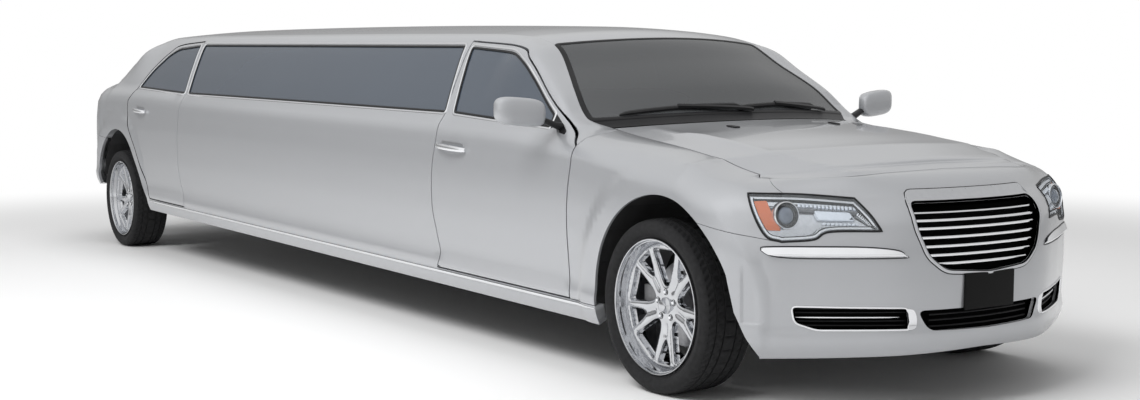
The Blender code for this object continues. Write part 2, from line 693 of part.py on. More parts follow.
def tube(path, radius, sides=8):
    """A closed bar of round section along a list of points."""
    points = [Vector(p) for p in path]
    verts, faces = [], []
    for i, p in enumerate(points):
        ahead = points[min(i + 1, len(points) - 1)] - points[max(i - 1, 0)]
        frame = ahead.normalized().to_track_quat("Z", "Y")
        verts += [p + frame @ Vector((radius * math.cos(2 * math.pi * n / sides), radius * math.sin(2 * math.pi * n / sides), 0.0))
                  for n in range(sides)]
    for i in range(len(points) - 1):
        for n in range(sides):
            a, b = i * sides + n, i * sides + (n + 1) % sides
            faces.append((a, b, b + sides, a + sides))
    faces += [tuple(reversed(range(sides))), tuple(range(len(verts) - sides, len(verts)))]
    return verts, faces


def reach(shape, places, way):
    """The least distance from the places to a shape, looking one way."""
    tree = BVHTree.FromPolygons([tuple(v) for v in shape[0]], shape[1])
    hits = [tree.ray_cast(Vector(p), Vector(way))[3] for p in places]
    return min(hit for hit in hits if hit is not None)


def clear_scene():
    for item in list(bpy.data.objects):
        bpy.data.objects.remove(item, do_unlink=True)


def material(name):
    made = bpy.data.materials.get(name) or bpy.data.materials.new(name)
    colour, roughness, metallic = MATERIALS[name]
    made.use_nodes = True
    shader = made.node_tree.nodes["Principled BSDF"]
    shader.inputs["Base Color"].default_value = (*colour, 1.0)
    shader.inputs["Roughness"].default_value = roughness
    shader.inputs["Metallic"].default_value = metallic
    return made


def empty(name, place, parent=None):
    made = bpy.data.objects.new(name, None)
    made.location = place
    made.parent = parent
    bpy.context.scene.collection.objects.link(made)
    return made


def node(name, shape, finish, parent, origin=(0.0, 0.0, 0.0), mirror=False, smooth=32.0):
    """A named solid from (points, faces), mirrored to the left side on demand, its origin at a place of its frame."""
    verts, faces = shape
    centre = Vector(origin)
    placed = [Vector((v[0], -v[1] if mirror else v[1], v[2])) for v in verts]
    if mirror:
        centre = Vector((centre.x, -centre.y, centre.z))
    bm = closed([v - centre for v in placed], faces)
    bmesh.ops.triangulate(bm, faces=[f for f in bm.faces if len(f.verts) > 3])
    mesh = bpy.data.meshes.new(name)
    bm.to_mesh(mesh)
    bm.free()
    mesh.materials.append(material(finish))
    mesh.shade_smooth()
    mesh.set_sharp_from_angle(angle=math.radians(smooth))
    made = bpy.data.objects.new(name, mesh)
    made.location = centre
    made.parent = parent
    bpy.context.scene.collection.objects.link(made)
    return made


def join(made, *shapes, cut=False, mirror=False):
    """Adds shapes to an object, or takes them away, by Booleans."""
    tools = []
    for n, shape in enumerate(shapes):
        tool = node(f"{made.name}_tool_{n}", shape, made.data.materials[0].name, made.parent, mirror=mirror)
        tools.append(tool)
        tool.hide_render = True
        tool.display_type = "WIRE"
        step = made.modifiers.new(f"join_{n}", "BOOLEAN")
        step.operation = "DIFFERENCE" if cut else "UNION"
        step.solver = "EXACT"
        step.object = tool
    return tools


SIDES = (("right", False), ("left", True))


def front_arch(start, end, steps):
    return arc((FRONT_ARCH_X, FRONT_ARCH_Z), FRONT_ARCH_RADIUS, start, end, steps)


def rear_arch(start, end, steps):
    return arc((REAR_ARCH_X, REAR_ARCH_Z), REAR_ARCH_RADIUS, start, end, steps)


def leaf_taper(x, z):
    """How far a door's inner face is drawn in from its edge: much below the belt, little on the window frame."""
    wall = cabin_wall(x, z)
    thin = ease((z / ROOF_HEIGHT - WAIST_SHARE) / WAIST_BLEND_SHARE)
    return wall * between(LEAF_TAPER_SHARES[0], LEAF_TAPER_SHARES[1], thin)


def half_of(wall):
    return lambda x, z: 0.5 * wall


def fender_taper(x, z):
    """Half the wall, fading out towards the flat top of the fender."""
    top = ease((z / ROOF_HEIGHT - 0.560) / 0.030) * ease((x - FRONT_DOOR_FRONT) / 0.20)
    return FENDER_WALL * between(0.5, 0.05, top)


def cabin_wall(x, z):
    """Wall of the cabin side: thick below the belt, a pillar's thickness above it."""
    return between(WALL, PILLAR_WALL, ease((z / ROOF_HEIGHT - WAIST_SHARE) / WAIST_BLEND_SHARE))


# Rows of run from the front cut to the rear cut, and height from door bottom to window bottom
FRONT_DOOR_CUT_SHARES = ((-0.015, 0.0), (0.007, 0.40), (0.006, 0.58), (-0.006, 0.78), (0.0, 0.870))
FRONT_DOOR_BACK_SHARES = ((0.975, 0.0), (0.955, 0.10), (0.982, 0.22), (1.018, 0.40), (1.021, 0.64), (1.0, 0.85))
REAR_DOOR_CUT_SHARES = ((-0.105, 0.0), (-0.09, 0.09), (-0.012, 0.30), (0.005, 0.60), (0.0, 0.83))
REAR_DOOR_BACK_SHARES = ((0.55, 0.0), (0.66, 0.21), (0.79, 0.44), (0.92, 0.62), (0.99, 0.76), (1.01, 0.90))
# Daylight openings: share of the door's length, share of the window's height
FRONT_WINDOW_SHARES = ((0.945, 0.0), (1.035, 0.985), (0.640, 0.905), (0.515, 0.735), (0.315, 0.265), (0.225, 0.07),
                       (0.225, -0.10))
REAR_WINDOW_SHARES = ((0.025, 0.0), (0.155, 0.985), (0.52, 0.91), (0.64, 0.77), (0.80, 0.43), (0.90, 0.06))
FRAME_SHARE = 0.66
LEAF_TAPER_SHARES = (0.9, 0.2)
WINDOW_LEAN_SHARES = (0.30, 0.41)
WAIST_SHARE = 0.590
WAIST_BLEND_SHARE = 0.035
REAR_ARCH_FOOT_SHARES = ((1.36, -0.04), (1.04, 0.36), (0.695, 0.73))
REAR_ARCH_TAIL_SHARES = ((-0.955, 0.20), (-0.970, 0.03))
FRONT_ARCH_FOOT_SHARES = ((1.00, 0.05), (1.10, -0.15), (1.22, -0.335))
SILL_ANGLE = 188.5
FRONT_SEAM_ANGLE = 53.4
REAR_SEAM_ANGLE = 124.0

# Stations of the seams and of the pieces in the nose and the tail
PILLAR_FOOT = -0.1064
COWL_FRONT = -0.1130
COWL_BACK = -0.1250
HEADER = -0.1985
ROOF_REAR = -0.9350
DECK_FRONT = -1.0250
HOOD_CORNER = 0.330
LAMP_SEAM = -1.330
LAMP_INNER = -1.560
TAIL_SEAM_SHARE = 0.494
# Marks along the top line from the middle of the nose to the middle of the tail, and the parts between them
TOP_MARKS = (1.0, HOOD_CORNER, PILLAR_FOOT, COWL_FRONT, COWL_BACK, HEADER, ROOF_REAR, DECK_FRONT, LAMP_SEAM, LAMP_INNER, -2.0)
TOP_PARTS = (8, 10, 1, 1, 6, 16, 6, 5, 3, 4)
# Outlines in the nose: station, height as a share of the roof height
LAMP_SHARES = ((0.290, 0.560), (0.580, 0.548), (0.648, 0.4695), (0.505, 0.468), (0.460, 0.449), (0.385, 0.443))
LAMP_OUTER_SHARES = ((0.345, 0.462),)
GRILLE_SHARES = ((0.740, 0.538), (0.748, 0.480), (0.785, 0.405), (0.840, 0.368), (1.000, 0.357))
FOG_SHARES = ((0.400, 0.282), (0.725, 0.277), (0.735, 0.222), (0.470, 0.222), (0.410, 0.240))
INTAKE_SHARES = ((0.755, 0.268), (0.790, 0.218), (1.000, 0.214))


def spot(row):
    """A row of station and height share as a flat place."""
    return at_station(row[0]), row[1] * ROOF_HEIGHT


def across(points):
    """Nose points of the right half with their mirror on the left half, in order."""
    return points + [(2.0 * NOSE_MIDDLE - g, z) for g, z in points[::-1] if abs(g - NOSE_MIDDLE) > SEAT_GAP]


def door_place(shares, front, back):
    length, height = back - front, WINDOW_BOTTOM - DOOR_BOTTOM
    return [(front + s * length, DOOR_BOTTOM + t * height) for s, t in shares]


def window_place(shares, front, back):
    length, rise = back - front, WINDOW_TOP - WINDOW_BOTTOM
    return [(front + s * length, WINDOW_BOTTOM + t * rise) for s, t in shares]


def front_window():
    return window_place(FRONT_WINDOW_SHARES, FRONT_DOOR_FRONT, FRONT_DOOR_REAR)


def rear_opening():
    return window_place(REAR_WINDOW_SHARES, REAR_DOOR_FRONT, REAR_DOOR_REAR)


def side_window():
    """Long fixed window between the doors."""
    rise = WINDOW_TOP - WINDOW_BOTTOM
    front, back = FRONT_DOOR_REAR - 0.5 * PILLAR_WIDTH, REAR_DOOR_FRONT + PILLAR_WIDTH
    return [(front, WINDOW_BOTTOM), (front - rise * WINDOW_LEAN_SHARES[0], WINDOW_TOP),
            (back - rise * WINDOW_LEAN_SHARES[1], WINDOW_TOP), (back, WINDOW_BOTTOM)]


def front_door_cut():
    """Front cut of the front door from its top to its foot."""
    return door_place(FRONT_DOOR_CUT_SHARES, FRONT_DOOR_FRONT, FRONT_DOOR_REAR)[::-1]


def front_door_rest():
    """The front door's other edges, from its lower rear corner up and forward to the head of the front cut."""
    back = door_place(FRONT_DOOR_BACK_SHARES, FRONT_DOOR_FRONT, FRONT_DOOR_REAR)
    return back + shifted(front_window(), -FRAME_SHARE * PILLAR_WIDTH)[1:5]


def rear_door_outline():
    cut = door_place(REAR_DOOR_CUT_SHARES, REAR_DOOR_FRONT, REAR_DOOR_REAR)
    back = door_place(REAR_DOOR_BACK_SHARES, REAR_DOOR_FRONT, REAR_DOOR_REAR)
    top = shifted(rear_opening(), -FRAME_SHARE * PILLAR_WIDTH)
    return cut + top[0:6] + back[::-1]


def seam_stations(start, end):
    """Stations of the top line's shared points between two of its marks."""
    low, high = min(start, end), max(start, end)
    rows = []
    for (a, b), parts in zip(zip(TOP_MARKS, TOP_MARKS[1:]), TOP_PARTS):
        rows += spread(a, b, parts + 1)[:-1]
    rows = [s for s in rows + [TOP_MARKS[-1]] if low - SLIVER <= s <= high + SLIVER]
    return rows if start > end else rows[::-1]


def top_edge(start, end):
    """Points of the top line on the flank between two marks, as (g, z)."""
    return [(at_station(s), top_z(s)) for s in seam_stations(start, end)]


def lamp_outer():
    """Outer edge of the headlamp, from its foot to its top."""
    return [spot(LAMP_SHARES[-1]), spot(LAMP_OUTER_SHARES[0]), spot(LAMP_SHARES[0])]


def body_side_outline():
    sill_top = front_arch(SILL_ANGLE, SILL_ANGLE, 1)[0]
    sill_front = sill_top[0]
    foot = [(REAR_ARCH_X + s * REAR_ARCH_RADIUS, REAR_ARCH_Z + t * REAR_ARCH_RADIUS) for s, t in REAR_ARCH_FOOT_SHARES]
    door_front = front_door_cut()
    outline = [sill_top, door_front[-1]] + front_door_rest() + [door_front[0]]
    outline += top_edge(PILLAR_FOOT, LAMP_SEAM)
    outline += [(at_station(LAMP_SEAM), TAIL_SEAM_SHARE * ROOF_HEIGHT)]
    outline += rear_arch(REAR_SEAM_ANGLE, 48.0, 5) + foot[::-1]
    outline += [(foot[0][0], bottom_z(-0.5)), (sill_front, bottom_z(-0.5))]
    return outline


SIDE_LEVEL_SHARES = (0.176, 0.28, 0.45, 0.605, 0.66, 0.75, 0.93)
SIDE_COLUMNS = (-0.75, -1.20, -1.70, -1.86, -2.60, -3.50, -4.40, -5.20, -5.42, -5.90, -6.10, -6.30, -6.50, -6.70, -6.90)


def build_cabin_sides(parent):
    levels = [share * ROOF_HEIGHT for share in SIDE_LEVEL_SHARES]
    grid = grid_rows(SIDE_COLUMNS, levels)
    shape = slab(flank, [body_side_outline(), side_window(), rear_door_outline()], cabin_wall, grid)
    pane = slab(flank, [seam(side_window(), SEAT_GAP)], GLASS_WALL,
                grid_rows(spread(REAR_DOOR_FRONT, FRONT_DOOR_REAR, 7), (0.84 * ROOF_HEIGHT,)), depth=GLASS_DEPTH)
    for side, mirror in SIDES:
        node(f"body_side_{side}", shape, "paint", parent, mirror=mirror)
        node(f"side_glass_{side}", pane, "glass", parent, mirror=mirror)
    return shape


def build_doors(parent):
    front = [front_door_cut()[-1]] + front_door_rest() + front_door_cut()[:-1]
    doors = (("front_door", front, front_window()), ("rear_door", rear_door_outline(), rear_opening()))
    levels = [share * ROOF_HEIGHT for share in (0.228, 0.29, 0.40, 0.52, 0.605, 0.65, 0.68)]
    leaves = {}
    for name, outline, window in doors:
        xs = [x for x, z in outline]
        grid = grid_rows(spread(min(xs), max(xs), 10), levels)
        window = divided(cleaned(window), WINDOW_STEP)
        leaf = slab(flank, [seam(outline, SHUT_GAP), window], cabin_wall, grid, taper=leaf_taper)
        leaves[name] = leaf
        pane = slab(flank, [shifted(window, SEAT_GAP)], GLASS_WALL, [], depth=GLASS_DEPTH)
        hinge = (front_door_cut()[-1] if name == "front_door" else outline[0])[0] + HINGE_AHEAD
        for side, mirror in SIDES:
            y = (1.0 if mirror else -1.0) * (abs(flank(hinge, HINGE_LEVEL_SHARE * ROOF_HEIGHT)[0].y) - HINGE_INSIDE)
            axis = empty(f"{name}_{side}_hinge", (hinge, y, HINGE_LEVEL_SHARE * ROOF_HEIGHT), parent)
            back = Vector((-axis.location.x, -axis.location.y, -axis.location.z))
            made = [node(f"{name}_{side}", leaf, "paint", axis, mirror=mirror),
                    node(f"{name}_glass_{side}", pane, "glass", axis, mirror=mirror)]
            if name == "front_door":
                made.append(node(f"mirror_{side}", mirror_shape(leaf), "paint", axis, mirror=mirror))
            for piece in made:
                piece.location = back
    return leaves


HINGE_LEVEL_SHARE = 0.42
MIRROR_SIZE = (0.105, 0.245, 0.135)
MIRROR_PLACE = (-0.850, -1.035, 1.083)
MIRROR_ARM = 0.030


# Mirror head from its outer end in: place as a share of its width, size as a share of its section
MIRROR_SHARES = ((0.50, 0.30), (0.47, 0.72), (0.34, 0.96), (0.05, 1.00), (-0.28, 0.92), (-0.42, 0.70), (-0.50, 0.34))
MIRROR_SIDES = 12


def mirror_shape(leaf):
    """Mirror head as a rounded pod drawn out to its arm at the door leaf."""
    length, width, height = MIRROR_SIZE
    place = Vector(MIRROR_PLACE)

    def loop(size, y):
        points = []
        for n in range(MIRROR_SIDES):
            a = 2.0 * math.pi * n / MIRROR_SIDES
            flat = 0.5 if math.cos(a) < 0.0 else 1.0
            points.append(Vector((place.x + 0.5 * length * size * math.cos(a) * flat, y,
                                  place.z + 0.5 * height * size * math.sin(a))))
        return points

    arm = MIRROR_ARM / height
    foot = reach(leaf, loop(arm, place.y), (0.0, 1.0, 0.0)) - SEAT_GAP
    verts, faces = [], []
    for share, size in MIRROR_SHARES:
        verts += loop(size, place.y - share * width)
    verts += loop(arm, place.y + foot)
    rows = len(verts) // MIRROR_SIDES
    for i in range(rows - 1):
        for n in range(MIRROR_SIDES):
            a, b = i * MIRROR_SIDES + n, i * MIRROR_SIDES + (n + 1) % MIRROR_SIDES
            faces.append((a, b, b + MIRROR_SIDES, a + MIRROR_SIDES))
    faces += [tuple(range(MIRROR_SIDES)), tuple(range(len(verts) - MIRROR_SIDES, len(verts)))]
    return verts, faces


def build_fenders(parent):
    outer = lamp_outer()
    outline = [front_door_cut()[-1]] + front_arch(SILL_ANGLE, FRONT_SEAM_ANGLE, 12) + outer
    outline += top_edge(HOOD_CORNER, PILLAR_FOOT) + front_door_cut()[:-1]
    levels = [share * ROOF_HEIGHT for share in (0.26, 0.33, 0.40, 0.47, 0.53, 0.57, 0.60, 0.625, 0.645, 0.66)]
    grid = grid_rows(spread(FRONT_DOOR_FRONT, at_station(HOOD_CORNER), 13), levels)
    shape = slab(flank, [seam(outline, SEAT_GAP)], FENDER_WALL, grid, taper=fender_taper)
    for side, mirror in SIDES:
        node(f"fender_{side}", shape, "paint", parent, mirror=mirror)


def lamp_loop():
    return [spot(row) for row in LAMP_SHARES] + [spot(LAMP_OUTER_SHARES[0])]


def build_nose(parent):
    foot = [(FRONT_ARCH_X + s * FRONT_ARCH_RADIUS, FRONT_ARCH_Z + t * FRONT_ARCH_RADIUS) for s, t in FRONT_ARCH_FOOT_SHARES]
    half = [(foot[-1][0], bottom_z(HOOD_CORNER))] + foot[::-1] + front_arch(22.0, FRONT_SEAM_ANGLE, 3)
    half += [spot(row) for row in LAMP_SHARES[::-1]] + top_edge(HOOD_CORNER, 1.0)
    bottom = [(at_station(s), bottom_z(s)) for s in spread(1.0, 0.45, 7)]
    outline = across(half)[:-0 or None] + [(2.0 * NOSE_MIDDLE - g, z) for g, z in bottom[::-1]] + bottom[1:]
    grille = across([spot(row) for row in GRILLE_SHARES[::1]])
    fog = divided(cleaned([spot(row) for row in FOG_SHARES]), PANE_STEP)
    fog_left = [(2.0 * NOSE_MIDDLE - g, z) for g, z in fog]
    intake = divided(cleaned(across([spot(row) for row in INTAKE_SHARES])), PANE_STEP)
    stations = spread(0.16, 1.84, 19)
    grid = grid_rows([at_station(min(s, 1.0)) if s <= 1.0 else 2.0 * NOSE_MIDDLE - at_station(2.0 - s) for s in stations],
                     [share * ROOF_HEIGHT for share in (0.19, 0.25, 0.32, 0.40, 0.47, 0.53, 0.575)])
    shape = slab(flank, [seam(outline, SEAT_GAP), grille, fog, fog_left, intake], BUMPER_WALL, grid,
                 taper=half_of(BUMPER_WALL))
    bumper = node("front_bumper", shape, "paint", parent)
    join(bumper, block((FRONT_PAD_LOW[0], -PLATE_PAD_HALF_WIDTH, FRONT_PAD_LOW[1]),
                       (FRONT_PAD_HIGH[0], PLATE_PAD_HALF_WIDTH, FRONT_PAD_HIGH[1])))
    middle = grid_rows([NOSE_MIDDLE + d * NOSE_LENGTH for d in spread(-0.2, 0.2, 3)],
                       [share * ROOF_HEIGHT for share in (0.42, 0.48)])
    bars = slab(flank, [seam(grille, SEAT_GAP)], GRILLE_BACK, middle, depth=GRILLE_DEPTH - SLAT_HEIGHT * 0.5)
    made = node("grille", bars, "chrome", parent)
    tools = []
    low, high = GRILLE_SHARES[-1][1] * ROOF_HEIGHT, GRILLE_SHARES[0][1] * ROOF_HEIGHT
    for n in range(SLATS):
        z = between(low, high, (n + 0.8) / (SLATS + 0.6))
        half_width = slat_half(z, grille)
        row = [(NOSE_MIDDLE - half_width, z), (NOSE_MIDDLE + half_width, z),
               (NOSE_MIDDLE + half_width, z + SLAT_HEIGHT), (NOSE_MIDDLE - half_width, z + SLAT_HEIGHT)]
        tools.append(slab(flank, [row], GRILLE_DEPTH, [], depth=SLAT_HEIGHT * 0.5, step=SLAT_STEP))
    join(made, *tools)
    for side, mirror in SIDES:
        lamp = slab(flank, [seam(lamp_loop(), 2.0 * SEAT_GAP)], LAMP_WALL, [], taper=half_of(LAMP_WALL))
        node(f"headlamp_{side}", lamp, "lamp", parent, mirror=mirror)
    trough = [(at_station(0.37), FOG_SHARES[2][1] * ROOF_HEIGHT - MARGIN), (at_station(0.37), FOG_SHARES[0][1] * ROOF_HEIGHT + MARGIN)]
    trough = [trough[0]] + [trough[1]] + [(2.0 * NOSE_MIDDLE - g, z) for g, z in trough[::-1]]
    depth = BUMPER_WALL + 1.5 * MARGIN
    insert = slab(flank, [trough], GRILLE_BACK, [], depth=depth, step=PANE_STEP)
    made = node("lower_grille", insert, "black", parent)
    plugs = [slab(flank, [shifted(hole, 3.0 * SEAT_GAP)], depth, [], depth=MARGIN) for hole in (fog, fog_left, intake)]
    join(made, *plugs)


GRILLE_BACK = 0.010
GRILLE_DEPTH = 0.024
SLATS = 7
SLAT_HEIGHT = 0.009
SLAT_STEP = 0.40
LAMP_WALL = 0.036
MARGIN = 0.008


def slat_half(z, grille):
    """Half width along the flank of the grille at a height, a margin inside its edge."""
    crossings = []
    for a, b in zip(grille, grille[1:] + grille[:1]):
        if (a[1] - z) * (b[1] - z) < 0.0:
            crossings.append(abs(a[0] + (b[0] - a[0]) * (z - a[1]) / (b[1] - a[1]) - NOSE_MIDDLE))
    return min(crossings) - MARGIN


def build_tail(parent):
    seam_z = TAIL_SEAM_SHARE * ROOF_HEIGHT
    arch = rear_arch(REAR_SEAM_ANGLE, 158.0, 3)
    arch += [(REAR_ARCH_X + s * REAR_ARCH_RADIUS, REAR_ARCH_Z + t * REAR_ARCH_RADIUS) for s, t in REAR_ARCH_TAIL_SHARES]
    half = [(at_station(s), seam_z) for s in spread(-2.0, LAMP_SEAM, 9)] + arch
    half += [(at_station(s), bottom_z(s)) for s in spread(-1.12, -2.0, 10)]
    mirrored = [(2.0 * TAIL_MIDDLE - g, z) for g, z in half[::-1]]
    stations = spread(-2.9, -1.1, 17)
    columns = [at_station(s) for s in stations]
    grid = grid_rows(columns, [share * ROOF_HEIGHT for share in (0.225, 0.27, 0.33, 0.39, 0.45)])
    shape = slab(flank, [seam(half + mirrored[1:-1], 1.5 * SEAT_GAP)], BUMPER_WALL, grid, taper=half_of(BUMPER_WALL))
    bumper = node("rear_bumper", shape, "paint", parent)
    join(bumper, block((REAR_PAD_LOW[0], -PLATE_PAD_HALF_WIDTH, REAR_PAD_LOW[1]),
                       (REAR_PAD_HIGH[0], PLATE_PAD_HALF_WIDTH, REAR_PAD_HIGH[1])))
    lamp = [(at_station(LAMP_SEAM), seam_z), (at_station(LAMP_INNER), seam_z)] + top_edge(LAMP_INNER, LAMP_SEAM)
    lamp_grid = grid_rows([at_station(s) for s in spread(LAMP_INNER, LAMP_SEAM, 5)], [share * ROOF_HEIGHT for share in (0.55, 0.62, 0.67)])
    shape = slab(flank, [seam(lamp, 2.0 * SEAT_GAP)], LAMP_WALL, lamp_grid, taper=half_of(LAMP_WALL))
    for side, mirror in SIDES:
        node(f"taillamp_{side}", shape, "lamp_red", parent, mirror=mirror)


# Bows of the cross lines at the centre of the car: forward, up
HOOD_REAR_BOW = (0.210, 0.030)
SCREEN_FOOT_BOW = (0.210, 0.028)
HEADER_BOW = (0.110, 0.030)
ROOF_REAR_BOW = (-0.120, 0.030)
DECK_BOW = (-0.160, 0.020)
ROOF_CROWN = 0.022
HOOD_CROWN = 0.022
SCREEN_CROWN = 0.010
DECK_CROWN = 0.010
EDGE_TAPER = 0.004
WHOLE = 9.0


def bowed(station, bow):
    """A line across the car between the top lines at a station, bowed at its middle."""
    corner = top_line(station)

    def line(a):
        rise = 1.0 - a * a
        return Vector((corner.x + bow[0] * rise, -a * corner.y, corner.z + bow[1] * rise))

    return line


def edge(start, end):
    return lambda b: top_line(between(start, end, b))


def nose_edge(a):
    return top_line(HOOD_CORNER + (1.0 - HOOD_CORNER) * (1.0 + a))


def tail_edge(a):
    return top_line(-2.0 - (LAMP_INNER + 2.0) * (-a)) if a < 0.0 else top_line(-2.0 - (LAMP_INNER + 2.0) * a)


def tail_station(a):
    return -2.0 - a * (LAMP_INNER + 2.0)


def patch_outline(size_a, size_b, gap, stations, wide):
    """Outline of a patch drawn in from its edges by a gap, with its sides divided at the top line's stations."""
    a, b = 1.0 - gap / size_a, gap / size_b
    shares = [(s - stations[0]) / (stations[-1] - stations[0]) for s in stations]
    sides = [min(max(share, b), 1.0 - b) for share in shares]
    across_points = [x * a for x in spread(-1.0, 1.0, wide)]
    return [(x, b) for x in across_points] + [(a, t) for t in sides[1:]] + \
        [(x, 1.0 - b) for x in across_points[::-1][1:]] + [(-a, t) for t in sides[::-1][1:-1]]


def drawn_in(half, length, distance, span=1.0):
    """A function that moves a patch's places towards its middle, by the distance at its edges."""
    share_a, share_b = 1.0 - distance / half, 1.0 - 2.0 * distance / (length * span)
    return lambda a, b: (a * share_a, 0.5 * span + (b - 0.5 * span) * share_b)


def build_decks(parent, hood_axis, lid_axis):
    rows = (
        ("roof", bowed(HEADER, HEADER_BOW), bowed(ROOF_REAR, ROOF_REAR_BOW), (HEADER, ROOF_REAR), ROOF_CROWN,
         0.60, 5.2, SEAT_GAP, ROOF_WALL, 7, 13, "paint", parent),
        ("windshield", bowed(COWL_BACK, SCREEN_FOOT_BOW), bowed(HEADER, HEADER_BOW), (COWL_BACK, HEADER), SCREEN_CROWN,
         0.62, 0.62, SEAT_GAP, GLASS_WALL, 9, 5, "glass", parent),
        ("cowl", bowed(COWL_FRONT, HOOD_REAR_BOW), bowed(COWL_BACK, SCREEN_FOOT_BOW), (COWL_FRONT, COWL_BACK), 0.0,
         0.66, 0.084, SEAT_GAP, GLASS_WALL, 9, 0, "black", parent),
        ("rear_window", bowed(ROOF_REAR, ROOF_REAR_BOW), bowed(DECK_FRONT, DECK_BOW), (ROOF_REAR, DECK_FRONT), SCREEN_CROWN,
         0.58, 0.58, SEAT_GAP, GLASS_WALL, 9, 5, "glass", parent),
        ("hood", nose_edge, bowed(COWL_FRONT, HOOD_REAR_BOW), (HOOD_CORNER, COWL_FRONT), HOOD_CROWN,
         0.65, 1.1, SHUT_GAP, LID_WALL, 9, 9, "paint", hood_axis),
    )
    for name, front, back, marks, crown, half, length, gap, wall, wide, deep, finish, carrier in rows:
        place = patch(front, back, edge(*marks), crown)
        grid = grid_rows(spread(-1.0, 1.0, wide), spread(0.0, 1.0, deep) if deep else [])
        outline = patch_outline(half, length, gap, seam_stations(*marks), wide)
        shape = slab(place, [outline], wall, grid, step=WHOLE, scale=(half, length),
                     inner=drawn_in(half, length, EDGE_TAPER + wall))
        made = node(name, shape, finish, carrier)
        if carrier is not parent:
            made.location = -carrier.location
            hood = shape
    deck = patch(bowed(DECK_FRONT, DECK_BOW), lambda a: top_line(tail_station(a)), edge(DECK_FRONT, LAMP_INNER), DECK_CROWN)

    def lid(a, b):
        if b <= 1.0:
            return deck(a, b)
        g = at_station(tail_station(a)) if a < 0.0 else 2.0 * TAIL_MIDDLE - at_station(tail_station(-a))
        return flank(g, between(top_z(tail_station(-abs(a))), TAIL_SEAM_SHARE * ROOF_HEIGHT, b - 1.0))

    half, length = abs(top_line(LAMP_INNER).y), 0.6
    a, b = 1.0 - SHUT_GAP / half, SHUT_GAP / length
    rows = [(s - DECK_FRONT) / (LAMP_INNER - DECK_FRONT) for s in seam_stations(DECK_FRONT, LAMP_INNER)]
    side = [max(t, b) for t in rows] + [1.0 + t for t in (0.25, 0.5, 0.75)] + [2.0 - 2.0 * b]
    columns = [x * a for x in spread(-1.0, 1.0, 9)]
    outline = [(x, b) for x in columns] + [(a, t) for t in side[1:]]
    outline += [(x, side[-1]) for x in columns[::-1][1:]] + [(-a, t) for t in side[::-1][1:-1]]
    grid = grid_rows(spread(-1.0, 1.0, 9), (0.25, 0.5, 0.75, 0.93, 1.0, 1.1, 1.5))
    shape = slab(lid, [outline], LID_WALL, grid, step=WHOLE, scale=(half, length),
                 inner=drawn_in(half, length, EDGE_TAPER + LID_WALL, 2.0))
    made = node("trunk_lid", shape, "paint", lid_axis)
    made.location = -lid_axis.location
    return {"hood": hood, "trunk_lid": shape}


def tyre_profile():
    """Closed profile of radius and outward place."""
    half = [(BEAD_RADIUS + SEAT_GAP, FLANGE_PLACE - SEAT_GAP), (RIM_RADIUS + SEAT_GAP, FLANGE_PLACE - SEAT_GAP)]
    half += [(r * TYRE_RADIUS, w * TYRE_HALF_WIDTH) for r, w in TYRE_SHARES]
    return half + [(r, -w) for r, w in half[::-1]]


def barrel_profile():
    return [(BARREL_RADIUS, -LIP_PLACE), (RIM_RADIUS, -LIP_PLACE), (RIM_RADIUS, -FLANGE_PLACE),
            (BEAD_RADIUS, -FLANGE_PLACE), (BEAD_RADIUS, FLANGE_PLACE), (RIM_RADIUS, FLANGE_PLACE),
            (RIM_RADIUS, LIP_PLACE), (LIP_INNER_RADIUS, LIP_PLACE), (BARREL_RADIUS, LIP_FOOT_PLACE)]


def rim_face(u, v):
    """The dished face of the right wheel, which looks towards -Y."""
    share = min(math.hypot(u, v) / BARREL_RADIUS, 1.0)
    return Vector((u, -between(SPOKE_HUB_PLACE, SPOKE_RIM_PLACE, share * share), v)), Vector((0.0, -1.0, 0.0))


def wedge(rows, turn):
    """An opening in the rim's face, alike on both sides of an angle."""
    sides = [[(r * RIM_RADIUS * math.cos(math.radians(turn + way * half)), r * RIM_RADIUS * math.sin(math.radians(turn + way * half)))
              for r, half in rows] for way in (-1.0, 1.0)]
    return sides[0] + sides[1][::-1]


